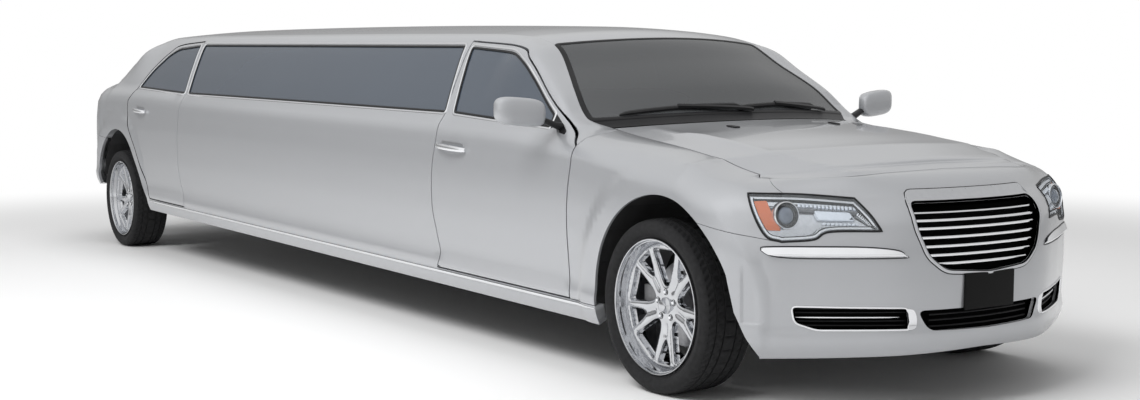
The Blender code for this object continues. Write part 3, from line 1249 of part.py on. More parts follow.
def build_wheels(stand):
    """Tyres, rims with their discs, and the steered knuckles."""
    outward = [(r, -w) for r, w in tyre_profile()]
    tyre = revolve(outward, WHEEL_SEGMENTS)
    barrel = revolve([(r, -w) for r, w in barrel_profile()], WHEEL_SEGMENTS)
    pitch = 360.0 / SPOKES
    loops = [arc((0.0, 0.0), BARREL_RADIUS + SPOKE_OVERLAP, -90.0, 270.0, WHEEL_SEGMENTS)[:-1]]
    loops += [wedge(OPENING_ROWS, (n + 0.5) * pitch - 90.0) for n in range(SPOKES)]
    loops += [wedge(FORK_ROWS, n * pitch - 90.0) for n in range(SPOKES)]
    face = slab(rim_face, loops, SPOKE_WALL, [], step=WHOLE)
    hub = turned([(0.0, -HUB_BACK_PLACE), (HUB_RADIUS, -HUB_BACK_PLACE), (HUB_RADIUS, -DISC_BACK_PLACE),
                  (DISC_RADIUS, -DISC_BACK_PLACE), (DISC_RADIUS, -DISC_FRONT_PLACE), (HUB_RADIUS, -DISC_FRONT_PLACE),
                  (HUB_RADIUS, -SPOKE_RIM_PLACE), (CAP_RADIUS, -SPOKE_RIM_PLACE), (CAP_TIP_RADIUS, -CAP_PLACE),
                  (0.0, -CAP_PLACE)], HUB_SEGMENTS)
    upright = block(UPRIGHT_LOW, UPRIGHT_HIGH)
    spindle_tip = KINGPIN_Y - HALF_TRACK - HUB_BACK_PLACE + SEAT_GAP
    spindle = turned([(0.0, SPINDLE_START), (SPINDLE_RADIUS, SPINDLE_START), (SPINDLE_RADIUS, spindle_tip), (0.0, spindle_tip)],
                     HUB_SEGMENTS)
    caliper = extruded(CALIPER_ROWS, -CALIPER_HALF_HEIGHT, CALIPER_HALF_HEIGHT, "Z")
    for side, mirror in SIDES:
        way = 1.0 if mirror else -1.0
        kingpin = empty(f"steer_{side}", (0.0, way * KINGPIN_Y, TYRE_RADIUS), stand)
        join(node(f"knuckle_{side}", upright, "steel", kingpin, mirror=mirror), spindle, caliper,
             block(BRACKET_LOW, BRACKET_HIGH), mirror=mirror)
        front = empty(f"wheel_front_{side}", (0.0, way * (HALF_TRACK - KINGPIN_Y), 0.0), kingpin)
        rear = empty(f"wheel_rear_{side}", (-WHEELBASE, way * HALF_TRACK, TYRE_RADIUS), stand)
        for place, axis in (("front", front), ("rear", rear)):
            node(f"tyre_{place}_{side}", tyre, "rubber", axis, mirror=mirror)
            join(node(f"rim_{place}_{side}", barrel, "chrome", axis, mirror=mirror), face, hub, mirror=mirror)


def ribbon(rows, wall):
    """Closed outline of a sheet that lies a wall's thickness above or behind the line through the rows."""
    path = [Vector(row) for row in rows]
    steps = [(b - a).normalized() for a, b in zip(path, path[1:])]
    normals = [Vector((d.y, -d.x)) for d in steps]
    upper = []
    for before, after, p in zip(normals[:1] + normals, normals + normals[-1:], path):
        both = before + after
        upper.append(tuple(p + both * wall * 2.0 / both.length_squared))
    return [tuple(p) for p in path] + upper[::-1]


def g_at(x):
    """The place along the flank of a forward distance, ahead of the straight side too."""
    if x <= NOSE_START:
        return x
    low, high = NOSE_START, NOSE_MIDDLE
    for _ in range(22):
        middle = 0.5 * (low + high)
        if plan(middle)[1] < x:
            low = middle
        else:
            high = middle
    return low


def inner_width(x, z, wall):
    """Half width of the space inside a body wall."""
    p, n = flank(g_at(x), z)
    return abs((p - n * wall).y) - SEAM_SLACK - NOSE_SLACK * ease((x - FRONT_ARCH_X - 0.20) / 0.06)


def liner(spec, angles, inner_y, wall):
    """A bent sheet round a wheel, from its inner edge out to the body side."""
    x0, z0, radius = spec
    verts, faces = [], []
    for n in range(LINER_STEPS + 1):
        turn = math.radians(between(angles[0], angles[1], n / LINER_STEPS))
        outer = inner_width(x0 + (radius + LINER_WALL) * math.cos(turn), z0 + (radius + LINER_WALL) * math.sin(turn), wall)
        for r in (radius, radius + LINER_WALL):
            for y in (inner_y, outer):
                verts.append(Vector((x0 + r * math.cos(turn), -y, z0 + r * math.sin(turn))))
    for n in range(LINER_STEPS):
        a, b = 4 * n, 4 * (n + 1)
        faces += [(a, a + 1, b + 1, b), (a + 1, a + 3, b + 3, b + 1), (a + 3, a + 2, b + 2, b + 3), (a + 2, a, b, b + 2)]
    faces += [(0, 1, 3, 2), (4 * LINER_STEPS, 4 * LINER_STEPS + 2, 4 * LINER_STEPS + 3, 4 * LINER_STEPS + 1)]
    return verts, faces


def flip(shape):
    return [Vector((v[0], -v[1], v[2])) for v in shape[0]], shape[1]


def build_running_gear(body, carried):
    """Floor with its rails and wheelhouses, subframe, engine, rear axle and exhaust."""
    edges = [(x, 0.0, z) for x in spread(FRONT_DOOR_FRONT, FLOOR_ROWS[-1][0], 500)
             for z in spread(FLOOR_UNDER, FLOOR_UNDER + 2.0 * FLOOR_WALL, 6)]
    half = reach(carried["side"], edges, (0.0, -1.0, 0.0)) - 1.5 * SEAT_GAP
    floor = node("floor_pan", extruded(ribbon(FLOOR_ROWS, FLOOR_WALL), -half, half), "black", body)
    shapes = [extruded(ribbon(FIREWALL_ROWS, FLOOR_WALL), -FIREWALL_HALF_WIDTH, FIREWALL_HALF_WIDTH)]
    for x in JACK_PAD_XS:
        pad = block((x + JACK_PAD_LOW[0],) + JACK_PAD_LOW[1:], (x + JACK_PAD_HIGH[0],) + JACK_PAD_HIGH[1:])
        shapes += [pad, flip(pad)]
    join(floor, *shapes)
    foot = FLOOR_UNDER + FLOOR_WALL + SEAT_GAP
    beam = block((POST_ROWS[-1][1], POST_INNER_Y, foot), (POST_ROWS[0][2], POST_OUTER_Y, SILL_TOP))
    posts = []
    for name, back, front, top in POST_ROWS:
        places = [(x, 0.0, z) for x in spread(back, front, 30) for z in spread(POST_PAD_BOTTOM, top, 60)]
        outer = reach(carried[name], places, (0.0, -1.0, 0.0)) - SEAT_GAP
        posts += [block((back, POST_INNER_Y, foot), (front, POST_OUTER_Y, top)),
                  block((back, POST_INNER_Y, POST_PAD_BOTTOM), (front, outer, top))]
    places = [(x, side * y, 0.0) for x in spread(HOOD_POST_LOW[0], HOOD_POST_HIGH[0], 40)
              for y in spread(HOOD_POST_LOW[1], HOOD_POST_HIGH[1], 40) for side in (-1.0, 1.0)]
    top = reach(carried["hood"], places, (0.0, 0.0, 1.0)) - SEAT_GAP
    rail = block((RAIL_LOW[0], RAIL_LOW[1], CROSS_HIGH[2] + SEAT_GAP), RAIL_HIGH)
    house = liner(REAR_LINER, LINER_ANGLES[1], LINER_INNER_Y[1], WALL)
    front_house = liner(FRONT_LINER, LINER_ANGLES[0], LINER_INNER_Y[0], BUMPER_WALL)
    for side, mirror in SIDES:
        made = node(f"inner_sill_{side}", flip(beam), "black", body, mirror=mirror)
        join(made, *[flip(post) for post in posts], mirror=mirror)
        made = node(f"front_frame_{side}", flip(rail), "black", body, mirror=mirror)
        join(made, front_house, flip(block(HOOD_POST_LOW, HOOD_POST_HIGH + (top,))), mirror=mirror)
        node(f"rear_wheelhouse_{side}", house, "black", body, mirror=mirror)
    places = [(0.0, y, z) for y in spread(LOCK_LOW[0], LOCK_HIGH[0], 12) for z in spread(LOCK_LOW[1], LOCK_HIGH[1], 12)]
    back = SEAT_GAP - reach(carried["trunk_lid"], places, (-1.0, 0.0, 0.0))
    tail_half = LINER_INNER_Y[1] - SEAT_GAP
    join(node("trunk_floor", extruded(ribbon(TAIL_ROWS, FLOOR_WALL), -tail_half, tail_half), "black", body),
         block((back,) + LOCK_LOW, (TAIL_ROWS[-1][0] + MARGIN,) + LOCK_HIGH))
    arms = (extruded(ARM_ROWS, -ARM_HALF_WIDTH, ARM_HALF_WIDTH, "X"), block(BALL_PAD_LOW, BALL_PAD_HIGH))
    join(node("subframe", block(CROSS_LOW, CROSS_HIGH), "steel", body), *arms, *[flip(arm) for arm in arms])
    node("engine", block(ENGINE_LOW + (CROSS_HIGH[2] + SEAT_GAP,), ENGINE_HIGH), "steel", body)
    rake = math.radians(RAKE_DEGREES)
    centre = Vector((-WHEELBASE * math.cos(rake) - TYRE_RADIUS * math.sin(rake), 0.0,
                     TYRE_RADIUS * math.cos(rake) - WHEELBASE * math.sin(rake)))
    tip = HALF_TRACK + HUB_BACK_PLACE - SEAT_GAP
    axle = node("rear_axle", turned([(0.0, -tip), (AXLE_RADIUS, -tip), (AXLE_RADIUS, tip), (0.0, tip)], HUB_SEGMENTS),
                "steel", body)
    axle.location = centre
    under = TAIL_ROWS[0][1] - SEAT_GAP - centre.z
    spring = block(SPRING_LOW, SPRING_HIGH + (under,))
    tools = join(axle, block(DIFF_LOW, DIFF_HIGH), spring, flip(spring))
    for tool in tools:
        tool.location = centre
    top = FLOOR_UNDER - EXHAUST_RADIUS - SEAT_GAP
    path = [(x, EXHAUST_Y, z) for x, z in [(EXHAUST_ROWS[0][0], top)] + [(x, z or top) for x, z in EXHAUST_ROWS[1:]]]
    join(node("exhaust", tube(path, EXHAUST_RADIUS), "steel", body),
         block(MUFFLER_LOW, MUFFLER_HIGH + (FLOOR_UNDER - SEAT_GAP,)))


# Exhaust pipe: forward, and height where it leaves the floor
EXHAUST_ROWS = ((-1.000, 0.0), (-5.900, 0.0), (-6.250, 0.370), (-6.900, 0.350), (-7.100, 0.300), (-7.560, 0.250))


def ring(place, radius, bar, tilt, segments=14, sides=5):
    """A steering wheel's ring, leaning back by an angle."""
    verts, faces = [], []
    lean = math.radians(tilt)
    for n in range(segments):
        a = 2.0 * math.pi * n / segments
        for m in range(sides):
            b = 2.0 * math.pi * m / sides
            across_, up, out = (radius + bar * math.cos(b)) * math.cos(a), (radius + bar * math.cos(b)) * math.sin(a), bar * math.sin(b)
            verts.append(Vector((place[0] + up * math.sin(lean) + out * math.cos(lean), place[1] + across_,
                                 place[2] + up * math.cos(lean) - out * math.sin(lean))))
    for n in range(segments):
        for m in range(sides):
            a, b = n * sides + m, n * sides + (m + 1) % sides
            c, d = ((n + 1) % segments) * sides + (m + 1) % sides, ((n + 1) % segments) * sides + m
            faces.append((a, b, c, d))
    return verts, faces


def build_inside(body):
    """Dashboard with the steering wheel, seats and the partition behind the front seats."""
    spokes = tube([(WHEEL_PLACE[0], WHEEL_PLACE[1] - WHEEL_RING_RADIUS, WHEEL_PLACE[2]), WHEEL_PLACE,
                   (WHEEL_PLACE[0], WHEEL_PLACE[1] + WHEEL_RING_RADIUS, WHEEL_PLACE[2])], WHEEL_BAR_RADIUS, 6)
    join(node("dashboard", extruded(DASH_ROWS, -DASH_HALF_WIDTH, DASH_HALF_WIDTH), "black", body),
         tube([COLUMN_START, WHEEL_PLACE], COLUMN_RADIUS, 8), spokes,
         ring(WHEEL_PLACE, WHEEL_RING_RADIUS, WHEEL_BAR_RADIUS, WHEEL_TILT_DEGREES))
    join(node("front_seats", block(CONSOLE_LOW, CONSOLE_HIGH), "leather", body),
         *[extruded(rows, a, b) for rows in (FRONT_CUSHION_ROWS, FRONT_BACK_ROWS) for a, b in SEAT_YS])
    join(node("rear_seat", extruded(REAR_CUSHION_ROWS, -REAR_SEAT_HALF_WIDTH, REAR_SEAT_HALF_WIDTH), "leather", body),
         extruded(REAR_BACK_ROWS, -REAR_SEAT_HALF_WIDTH, REAR_SEAT_HALF_WIDTH),
         block(BENCH_LOW, BENCH_HIGH), block(BENCH_BACK_LOW, BENCH_BACK_HIGH))
    outline = list(PARTITION_ROWS) + [(-y, z) for y, z in PARTITION_ROWS[::-1]]
    opening = list(PARTITION_WINDOW_ROWS) + [(-y, z) for y, z in PARTITION_WINDOW_ROWS[::-1]]
    wall = node("partition", extruded(outline, *PARTITION_X, "X"), "black", body)
    join(wall, extruded(opening, PARTITION_X[0] - MARGIN, PARTITION_X[1] + MARGIN, "X"), cut=True)


def main():
    clear_scene()
    stand = empty("stand", (0.0, 0.0, 0.0))
    body = empty("body_rake", (0.0, 0.0, 0.0), stand)
    body.rotation_euler = (0.0, math.radians(RAKE_DEGREES), 0.0)
    hood_axis = empty("hood_hinge", top_line(COWL_FRONT) + Vector((0.0, -top_line(COWL_FRONT).y, 0.0)), body)
    lid_axis = empty("trunk_hinge", top_line(DECK_FRONT) + Vector((0.0, -top_line(DECK_FRONT).y, 0.0)), body)
    carried = {"side": build_cabin_sides(body)}
    carried.update(build_doors(body))
    build_fenders(body)
    build_nose(body)
    build_tail(body)
    carried.update(build_decks(body, hood_axis, lid_axis))
    build_wheels(stand)
    build_running_gear(body, carried)
    build_inside(body)
    bpy.context.view_layer.update()
    places = [(item.matrix_world @ corner).x for item in bpy.data.objects if item.type == "MESH"
              for corner in (v.co for v in item.data.vertices)]
    stand.location.x = -0.5 * (min(places) + max(places))


main()
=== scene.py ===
import math

import bpy
import numpy as np
from mathutils import Matrix, Vector
from mathutils.geometry import delaunay_2d_cdt


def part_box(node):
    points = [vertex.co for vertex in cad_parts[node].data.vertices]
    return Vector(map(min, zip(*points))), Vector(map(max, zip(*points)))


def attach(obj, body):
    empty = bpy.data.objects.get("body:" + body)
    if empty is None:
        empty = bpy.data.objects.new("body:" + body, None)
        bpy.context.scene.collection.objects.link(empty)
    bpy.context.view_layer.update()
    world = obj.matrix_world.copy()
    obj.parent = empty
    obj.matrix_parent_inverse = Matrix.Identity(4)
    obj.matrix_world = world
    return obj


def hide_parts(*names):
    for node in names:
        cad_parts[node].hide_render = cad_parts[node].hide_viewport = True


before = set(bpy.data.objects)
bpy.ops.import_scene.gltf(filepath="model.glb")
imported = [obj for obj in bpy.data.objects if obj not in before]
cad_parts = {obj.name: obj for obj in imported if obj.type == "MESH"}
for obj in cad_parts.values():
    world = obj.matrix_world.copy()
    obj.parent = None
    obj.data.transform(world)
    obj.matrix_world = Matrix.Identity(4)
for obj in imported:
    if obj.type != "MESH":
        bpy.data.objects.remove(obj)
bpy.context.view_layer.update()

# The body's own frame: x from the front axle, z from the road there, then raked and moved into the row frame
low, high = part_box("tyre_front_left")
AXLE_X = 0.5 * (low[0] + high[0])
RAKE = math.radians(0.785)
BODY = Matrix.Translation((AXLE_X, 0.0, 0.0)) @ Matrix.Rotation(RAKE, 4, "Y")

WHEELBASE = 6.608
FRONT_OVERHANG = 0.900
REAR_OVERHANG = 1.122
HALF_WIDTH = 0.951
ROOF = 1.489
NOSE_START = 0.150
TAIL_START = -6.900
SPAN = NOSE_START - TAIL_START
# Wheel openings in the flank: (g, height, radius) of each
FRONT_OPENING, REAR_OPENING = (0.050, 0.370, 0.430), (-6.600, 0.325, 0.440)
BROW_WIDTH, BROW_EDGE, BROW_HEIGHT = 0.150, 0.060, 0.014

NOSE_PLAN = (
    (0.167, 1.000), (0.389, 0.983), (0.522, 0.941), (0.622, 0.862), (0.700, 0.757),
    (0.817, 0.589), (0.928, 0.400), (0.983, 0.210), (1.000, 0.000),
)
TAIL_PLAN = (
    (0.260, 1.000), (0.439, 0.982), (0.617, 0.915), (0.750, 0.842), (0.866, 0.728),
    (0.938, 0.570), (0.982, 0.315), (1.000, 0.000),
)
BOTTOM_Z = (
    (-2.00, 0.195), (-1.40, 0.200), (-1.10, 0.222), (-1.00, 0.222), (-0.92, 0.150), (0.00, 0.150),
    (0.30, 0.146), (1.00, 0.160),
)
SHOULDER_Z = (
    (-2.00, 0.640), (-1.40, 0.625), (-1.00, 0.600), (-0.60, 0.604), (-0.12, 0.600), (-0.02, 0.545),
    (0.15, 0.500), (0.40, 0.470), (1.00, 0.470),
)
BELT_Z = (
    (-2.00, 0.700), (-1.40, 0.690), (-1.05, 0.704), (-0.911, 0.713), (-0.773, 0.706), (-0.518, 0.6965),
    (-0.277, 0.6965), (-0.2014, 0.691), (-0.120, 0.662), (-0.02, 0.625), (0.15, 0.585), (0.42, 0.560),
    (0.70, 0.545), (1.00, 0.545),
)
TOP_Z = (
    (-2.00, 0.732), (-1.62, 0.722), (-1.39, 0.722), (-1.10, 0.738), (-1.02, 0.752), (-0.970, 0.850),
    (-0.932, 0.934), (-0.900, 0.958), (-0.80, 0.966), (-0.50, 0.967), (-0.28, 0.964), (-0.225, 0.955),
    (-0.1985, 0.930), (-0.1702, 0.852), (-0.149, 0.790), (-0.127, 0.712), (-0.112, 0.688), (-0.035, 0.6495),
    (0.00, 0.630), (0.15, 0.600), (0.30, 0.591), (0.56, 0.598), (0.71, 0.604), (1.00, 0.608),
)
BELT_IN = (
    (-2.00, 0.040), (-1.40, 0.060), (-1.00, 0.085), (-0.80, 0.088), (-0.12, 0.090), (-0.02, 0.100),
    (0.15, 0.095), (0.42, 0.090), (1.00, 0.085),
)
TOP_IN = (
    (-2.00, 0.063), (-1.62, 0.058), (-1.51, 0.105), (-1.39, 0.179), (-1.28, 0.231), (-1.07, 0.305),
    (-1.00, 0.330), (-0.932, 0.368), (-0.900, 0.369), (-0.50, 0.369), (-0.225, 0.369), (-0.1985, 0.380),
    (-0.127, 0.232), (-0.112, 0.285), (-0.035, 0.264), (0.00, 0.263), (0.15, 0.271), (0.30, 0.233),
    (0.42, 0.168), (0.56, 0.147), (0.71, 0.215), (0.85, 0.247), (1.00, 0.263),
)
FLANK_IN = ((-2.00, 0.0), (-1.10, 0.002), (-0.97, 0.017), (-0.04, 0.017), (0.10, 0.0), (1.00, 0.0))
CABIN = ((-2.00, 0.0), (-1.06, 0.0), (-0.985, 1.0), (-0.130, 1.0), (-0.108, 0.0), (1.00, 0.0))
TUCK = (
    (0.00, 0.028), (0.058, 0.011), (0.111, 0.002), (0.158, -0.002), (0.261, 0.005), (0.409, 0.003),
    (0.586, 0.000), (0.734, 0.000), (0.882, 0.003), (1.000, 0.010),
)
TUMBLEHOME = ((0.0, 0.0, 0.0), (0.45, 0.45, 0.33), (0.80, 0.87, 0.70), (0.92, 0.97, 0.87), (1.0, 1.0, 1.0))
PILLAR = ((0.0, 0.0, 0.0), (0.40, 0.55, 0.26), (0.72, 0.93, 0.50), (0.86, 0.985, 0.72), (1.0, 1.0, 1.0))
SCREEN = ((-1.00, 1.0), (-0.96, 1.0), (-0.90, 0.0), (-0.24, 0.0), (-0.185, 1.0), (0.00, 1.0))
CABIN_ANGLE, FENDER_ANGLE = math.radians(72.0), math.radians(50.0)
# Heights this near the top edge are drawn on it, as the surface is nearly level there
TOP_BAND, TOP_BLEND = 0.0035, 0.030
CROWN_DROPS = (0.0049, 0.0065, 0.009, 0.013, 0.0195, 0.029, 0.041)


# ---- The painted surface, as arrays ----

def through(rows, size=1.0, column=1):
    xs = np.array([row[0] for row in rows])
    ys = np.array([row[column] for row in rows]) * size
    steps = np.diff(ys) / np.diff(xs)
    slopes = [steps[0]]
    for before, after in zip(steps, steps[1:]):
        slopes.append(0.0 if before * after <= 0.0 else 2.0 * before * after / (before + after))
    slopes = np.array(slopes + [steps[-1]])

    def value(x):
        x = np.clip(x, xs[0], xs[-1])
        i = np.clip(np.searchsorted(xs, x, side="right") - 1, 0, len(steps) - 1)
        h = xs[i + 1] - xs[i]
        t = (x - xs[i]) / h
        bend = ys[i] * (2 * t ** 3 - 3 * t ** 2 + 1) + ys[i + 1] * (3 * t ** 2 - 2 * t ** 3)
        return bend + h * (slopes[i] * (t ** 3 - 2 * t ** 2 + t) + slopes[i + 1] * (t ** 3 - t ** 2))

    return value


def mix(a, b, t):
    return a + (b - a) * t


def ease(t):
    t = np.clip(t, 0.0, 1.0)
    return t * t * (3.0 - 2.0 * t)


def spread(start, end, count):
    return [mix(start, end, n / (count - 1)) for n in range(count)]


def curved(points, steps=8):
    """A smooth curve through the points, as a list of tuples."""
    p = np.array([points[0]] + list(points) + [points[-1]], float)
    p[0] = 2 * p[1] - p[2]
    p[-1] = 2 * p[-2] - p[-3]
    out = []
    for i in range(1, len(p) - 2):
        for n in range(steps):
            t = n / steps
            out.append(0.5 * (2 * p[i] + (p[i + 1] - p[i - 1]) * t
                              + (2 * p[i - 1] - 5 * p[i] + 4 * p[i + 1] - p[i + 2]) * t ** 2
                              + (3 * p[i] - p[i - 1] - 3 * p[i + 1] + p[i + 2]) * t ** 3))
    out.append(p[-2])
    return [tuple(float(c) for c in q) for q in out]


def dense_plan(points):
    ends = list(points) + [(points[-1][0], -points[-2][1])]
    ends = [points[0]] + ends
    path = []
    for i in range(1, len(ends) - 2):
        p = [np.array(ends[i + j]) for j in (-1, 0, 1, 2)]
        for n in range(24):
            t = n / 24
            path.append(0.5 * (2 * p[1] + (p[2] - p[0]) * t + (2 * p[0] - 5 * p[1] + 4 * p[2] - p[3]) * t ** 2
                               + (3 * p[1] - p[0] - 3 * p[2] + p[3]) * t ** 3))
    path.append(np.array(points[-1]))
    path = np.array(path)
    run = np.concatenate(([0.0], np.cumsum(np.linalg.norm(np.diff(path, axis=0), axis=1))))
    tangent = np.gradient(path, run, axis=0)
    tangent /= np.linalg.norm(tangent, axis=1)[:, None]
    outward = np.stack((-tangent[:, 1], tangent[:, 0]), axis=1)
    outward *= np.sign(outward[:, 1:2] + 1e-9)
    start, end = np.array((0.0, 1.0)), np.array((math.copysign(1.0, path[-1, 0] - path[0, 0]), 0.0))
    outward = mix(start, outward, ease(run / 0.35)[:, None])
    outward = mix(end, outward, ease((run[-1] - run) / 0.25)[:, None])
    return run, path, outward / np.linalg.norm(outward, axis=1)[:, None]


NOSE = dense_plan([(x * FRONT_OVERHANG, y * HALF_WIDTH) for x, y in NOSE_PLAN])
TAIL = dense_plan([(-WHEELBASE - x * REAR_OVERHANG, y * HALF_WIDTH) for x, y in TAIL_PLAN])
NOSE_LENGTH, TAIL_LENGTH = float(NOSE[0][-1]), float(TAIL[0][-1])
NOSE_MIDDLE, TAIL_MIDDLE = NOSE_START + NOSE_LENGTH, TAIL_START - TAIL_LENGTH


def plan(g):
    g = np.atleast_1d(np.asarray(g, float))
    station = (g - NOSE_START) / SPAN
    x, y = g.copy(), np.full_like(g, -HALF_WIDTH)
    nx, ny = np.zeros_like(g), np.full_like(g, -1.0)
    for (run, path, outward), length, start, way in (
            (NOSE, NOSE_LENGTH, NOSE_START, 1.0), (TAIL, TAIL_LENGTH, TAIL_START, -1.0)):
        on = (g - start) * way > 0.0
        along = np.abs(g[on] - start)
        side = np.where(along > length, 1.0, -1.0)
        along = np.where(along > length, np.maximum(2.0 * length - along, 0.0), along)
        x[on] = np.interp(along, run, path[:, 0])
        y[on] = side * np.interp(along, run, path[:, 1])
        nx[on] = np.interp(along, run, outward[:, 0])
        ny[on] = side * np.interp(along, run, outward[:, 1])
        station[on] = along / length if way > 0.0 else -1.0 - along / length
    return station, x, y, nx, ny


def at(station):
    """The g of a station."""
    s = np.asarray(station, float)
    g = np.where(s > 0.0, NOSE_START + s * NOSE_LENGTH,
                 np.where(s < -1.0, TAIL_START + (s + 1.0) * TAIL_LENGTH, NOSE_START + s * SPAN))
    return float(g) if g.ndim == 0 else g


bottom_z, shoulder_z, belt_z, top_z = [through(rows, ROOF) for rows in (BOTTOM_Z, SHOULDER_Z, BELT_Z, TOP_Z)]
belt_in, top_in, flank_in = [through(rows, HALF_WIDTH) for rows in (BELT_IN, TOP_IN, FLANK_IN)]
cabin_share, screen_share, tuck = through(CABIN), through(SCREEN), through(TUCK, HALF_WIDTH)
roof_rise, roof_run = through(TUMBLEHOME), through(TUMBLEHOME, column=2)
pillar_rise, pillar_run = through(PILLAR), through(PILLAR, column=2)


def brow(g, z):
    out = np.zeros_like(z)
    for x0, z0, radius in (FRONT_OPENING, REAR_OPENING):
        beyond = np.hypot(g - x0, z - z0) - radius
        out = np.maximum(out, BROW_HEIGHT * ease((BROW_WIDTH - beyond) / BROW_EDGE))
    return out


def section(g, level):
    station = plan(g)[0]
    cabin = cabin_share(station)
    turn = mix(FENDER_ANGLE, CABIN_ANGLE, cabin)
    bottom, shoulder, belt, top = bottom_z(station), shoulder_z(station), belt_z(station), top_z(station)
    edge = flank_in(station)
    low = np.clip(level, 0.0, 1.0)
    z0 = mix(bottom, shoulder, low)
    in0 = edge + tuck(low) - brow(g, z0)
    a = (np.clip(level, 1.0, 2.0) - 1.0) * turn
    z1 = mix(shoulder, belt, np.sin(a) / np.sin(turn))
    in1 = mix(edge + tuck(1.0), belt_in(station), (1.0 - np.cos(a)) / (1.0 - np.cos(turn)))
    in1 = in1 - brow(g, z1) * (2.0 - np.clip(level, 1.0, 2.0))
    share = np.clip(level, 2.0, 3.0) - 2.0
    a = mix(FENDER_ANGLE, 0.5 * math.pi, share)
    rise = (np.sin(a) - math.sin(FENDER_ANGLE)) / (1.0 - math.sin(FENDER_ANGLE))
    run = 1.0 - np.cos(a) / math.cos(FENDER_ANGLE)
    screen = screen_share(station)
    z2 = mix(belt, top, mix(rise, mix(roof_rise(share), pillar_rise(share), screen), cabin))
    in2 = mix(belt_in(station), top_in(station),
              mix(run, mix(roof_run(share), pillar_run(share), screen), cabin))
    z = np.where(level <= 1.0, z0, np.where(level <= 2.0, z1, z2))
    return z, np.where(level <= 1.0, in0, np.where(level <= 2.0, in1, in2))


def flank_level(g, level):
    _, x, y, nx, ny = plan(g)
    z, inward = section(g, level)
    return np.stack((x - nx * inward, y - ny * inward, z), axis=1)


def unit(v):
    return v / np.maximum(np.linalg.norm(v, axis=1), 1e-12)[:, None]


def flank(uv):
    """Points and outward normals of the right flank, nose or tail at rows of (g, z)."""
    uv = np.asarray(uv, float).reshape(-1, 2)
    g, z = uv[:, 0], uv[:, 1]
    drop = top_z(plan(g)[0]) - z
    z = z + drop - np.where(drop < TOP_BLEND,
                            np.maximum(drop - TOP_BAND, 0.0) * TOP_BLEND / (TOP_BLEND - TOP_BAND), drop)
    low, high = np.zeros_like(g), np.full_like(g, 3.0)
    for _ in range(24):
        middle = 0.5 * (low + high)
        below = section(g, middle)[0] < z
        low, high = np.where(below, middle, low), np.where(below, high, middle)
    level = np.clip(0.5 * (low + high), 0.0, 3.0)
    along = flank_level(g + 0.004, level) - flank_level(g - 0.004, level)
    rising = flank_level(g, np.minimum(level + 0.03, 3.0)) - flank_level(g, np.maximum(level - 0.03, 0.0))
    return flank_level(g, level), unit(np.cross(along, rising))


def top_line(station):
    g = np.atleast_1d(at(np.atleast_1d(station)))
    return flank_level(g, np.full_like(g, 3.0))


def crown_rows(loop):
    """Points in rows below the loop's part on the top edge, closer together where the surface turns level."""
    gs, zs = np.array(loop).T
    tops = top_z(plan(gs)[0])
    return [(float(g), float(top - drop)) for g, z, top in zip(gs, zs, tops) if top - z < 0.008
            for drop in CROWN_DROPS]


def raised(place, height, step=0.002):
    """The surface with a height added to it, and the normals of the new shape."""
    def made(uv):
        uv = np.asarray(uv, float).reshape(-1, 2)
        p, n = place(uv)
        h = height(uv)
        across, along = place(uv + (step, 0.0))[0] - p, place(uv + (0.0, step))[0] - p
        rise, climb = height(uv + (step, 0.0)) - h, height(uv + (0.0, step)) - h
        first, second = np.cross(along, n), np.cross(n, across)
        volume = np.einsum("ij,ij->i", first, across)
        volume = np.where(np.abs(volume) > 1e-12, volume, 1.0)
        slope = (first * rise[:, None] + second * climb[:, None]) / volume[:, None]
        return p + n * h[:, None], unit(n - slope)

    return made


def patch(front, back, side, crown, creases=()):
    """A surface over (a, b): a from -1 right to 1 left, b from the front edge to the back."""
    def point(a, b):
        a, b = np.clip(a, -1.0, 1.0), np.clip(b, 0.0, 1.0)
        right = side(b)
        left = right * (1.0, -1.0, 1.0)
        s, t = (0.5 * (a + 1.0))[:, None], b[:, None]
        ones = np.ones_like(a)
        ruled = mix(front(a), back(a), t) + mix(right, left, s)
        corners = mix(mix(front(-ones), back(-ones), t), mix(front(ones), back(ones), t), s)
        bulge = crown * (1.0 - np.abs(a) ** 2) * np.maximum(4.0 * b * (1.0 - b), 0.0) ** 0.8
        for inner, outer, height, width in creases:
            ridge = mix(inner, outer, b)
            away = (np.abs(a) - ridge) / width
            fade = np.clip(b / 0.06, 0, 1) * np.clip((1.0 - b) / 0.10, 0, 1)
            bulge = bulge + height * fade * np.where(away > 0.0, np.exp(-np.maximum(away, 0) * 3.0),
                    np.exp(np.minimum(away, 0) * 0.8))
        out = ruled - corners
        out[:, 2] += bulge
        return out

    def place(uv):
        uv = np.asarray(uv, float).reshape(-1, 2)
        a, b = uv[:, 0], uv[:, 1]
        da, db = np.where(a < 0.0, 0.002, -0.002), np.where(b < 0.5, 0.002, -0.002)
        p = point(a, b)
        across = (point(a + da, b) - p) * np.sign(da)[:, None]
        along = (point(a, b + db) - p) * np.sign(db)[:, None]
        n = unit(np.cross(across, along))
        return p, n * np.where(n[:, 2:] > 0.0, 1.0, -1.0)

    return place


# ---- Flat outlines ----

def arc(centre, radius, start, end, steps):
    turns = [math.radians(a) for a in spread(start, end, steps + 1)]
    return [(centre[0] + radius * math.cos(t), centre[1] + radius * math.sin(t)) for t in turns]


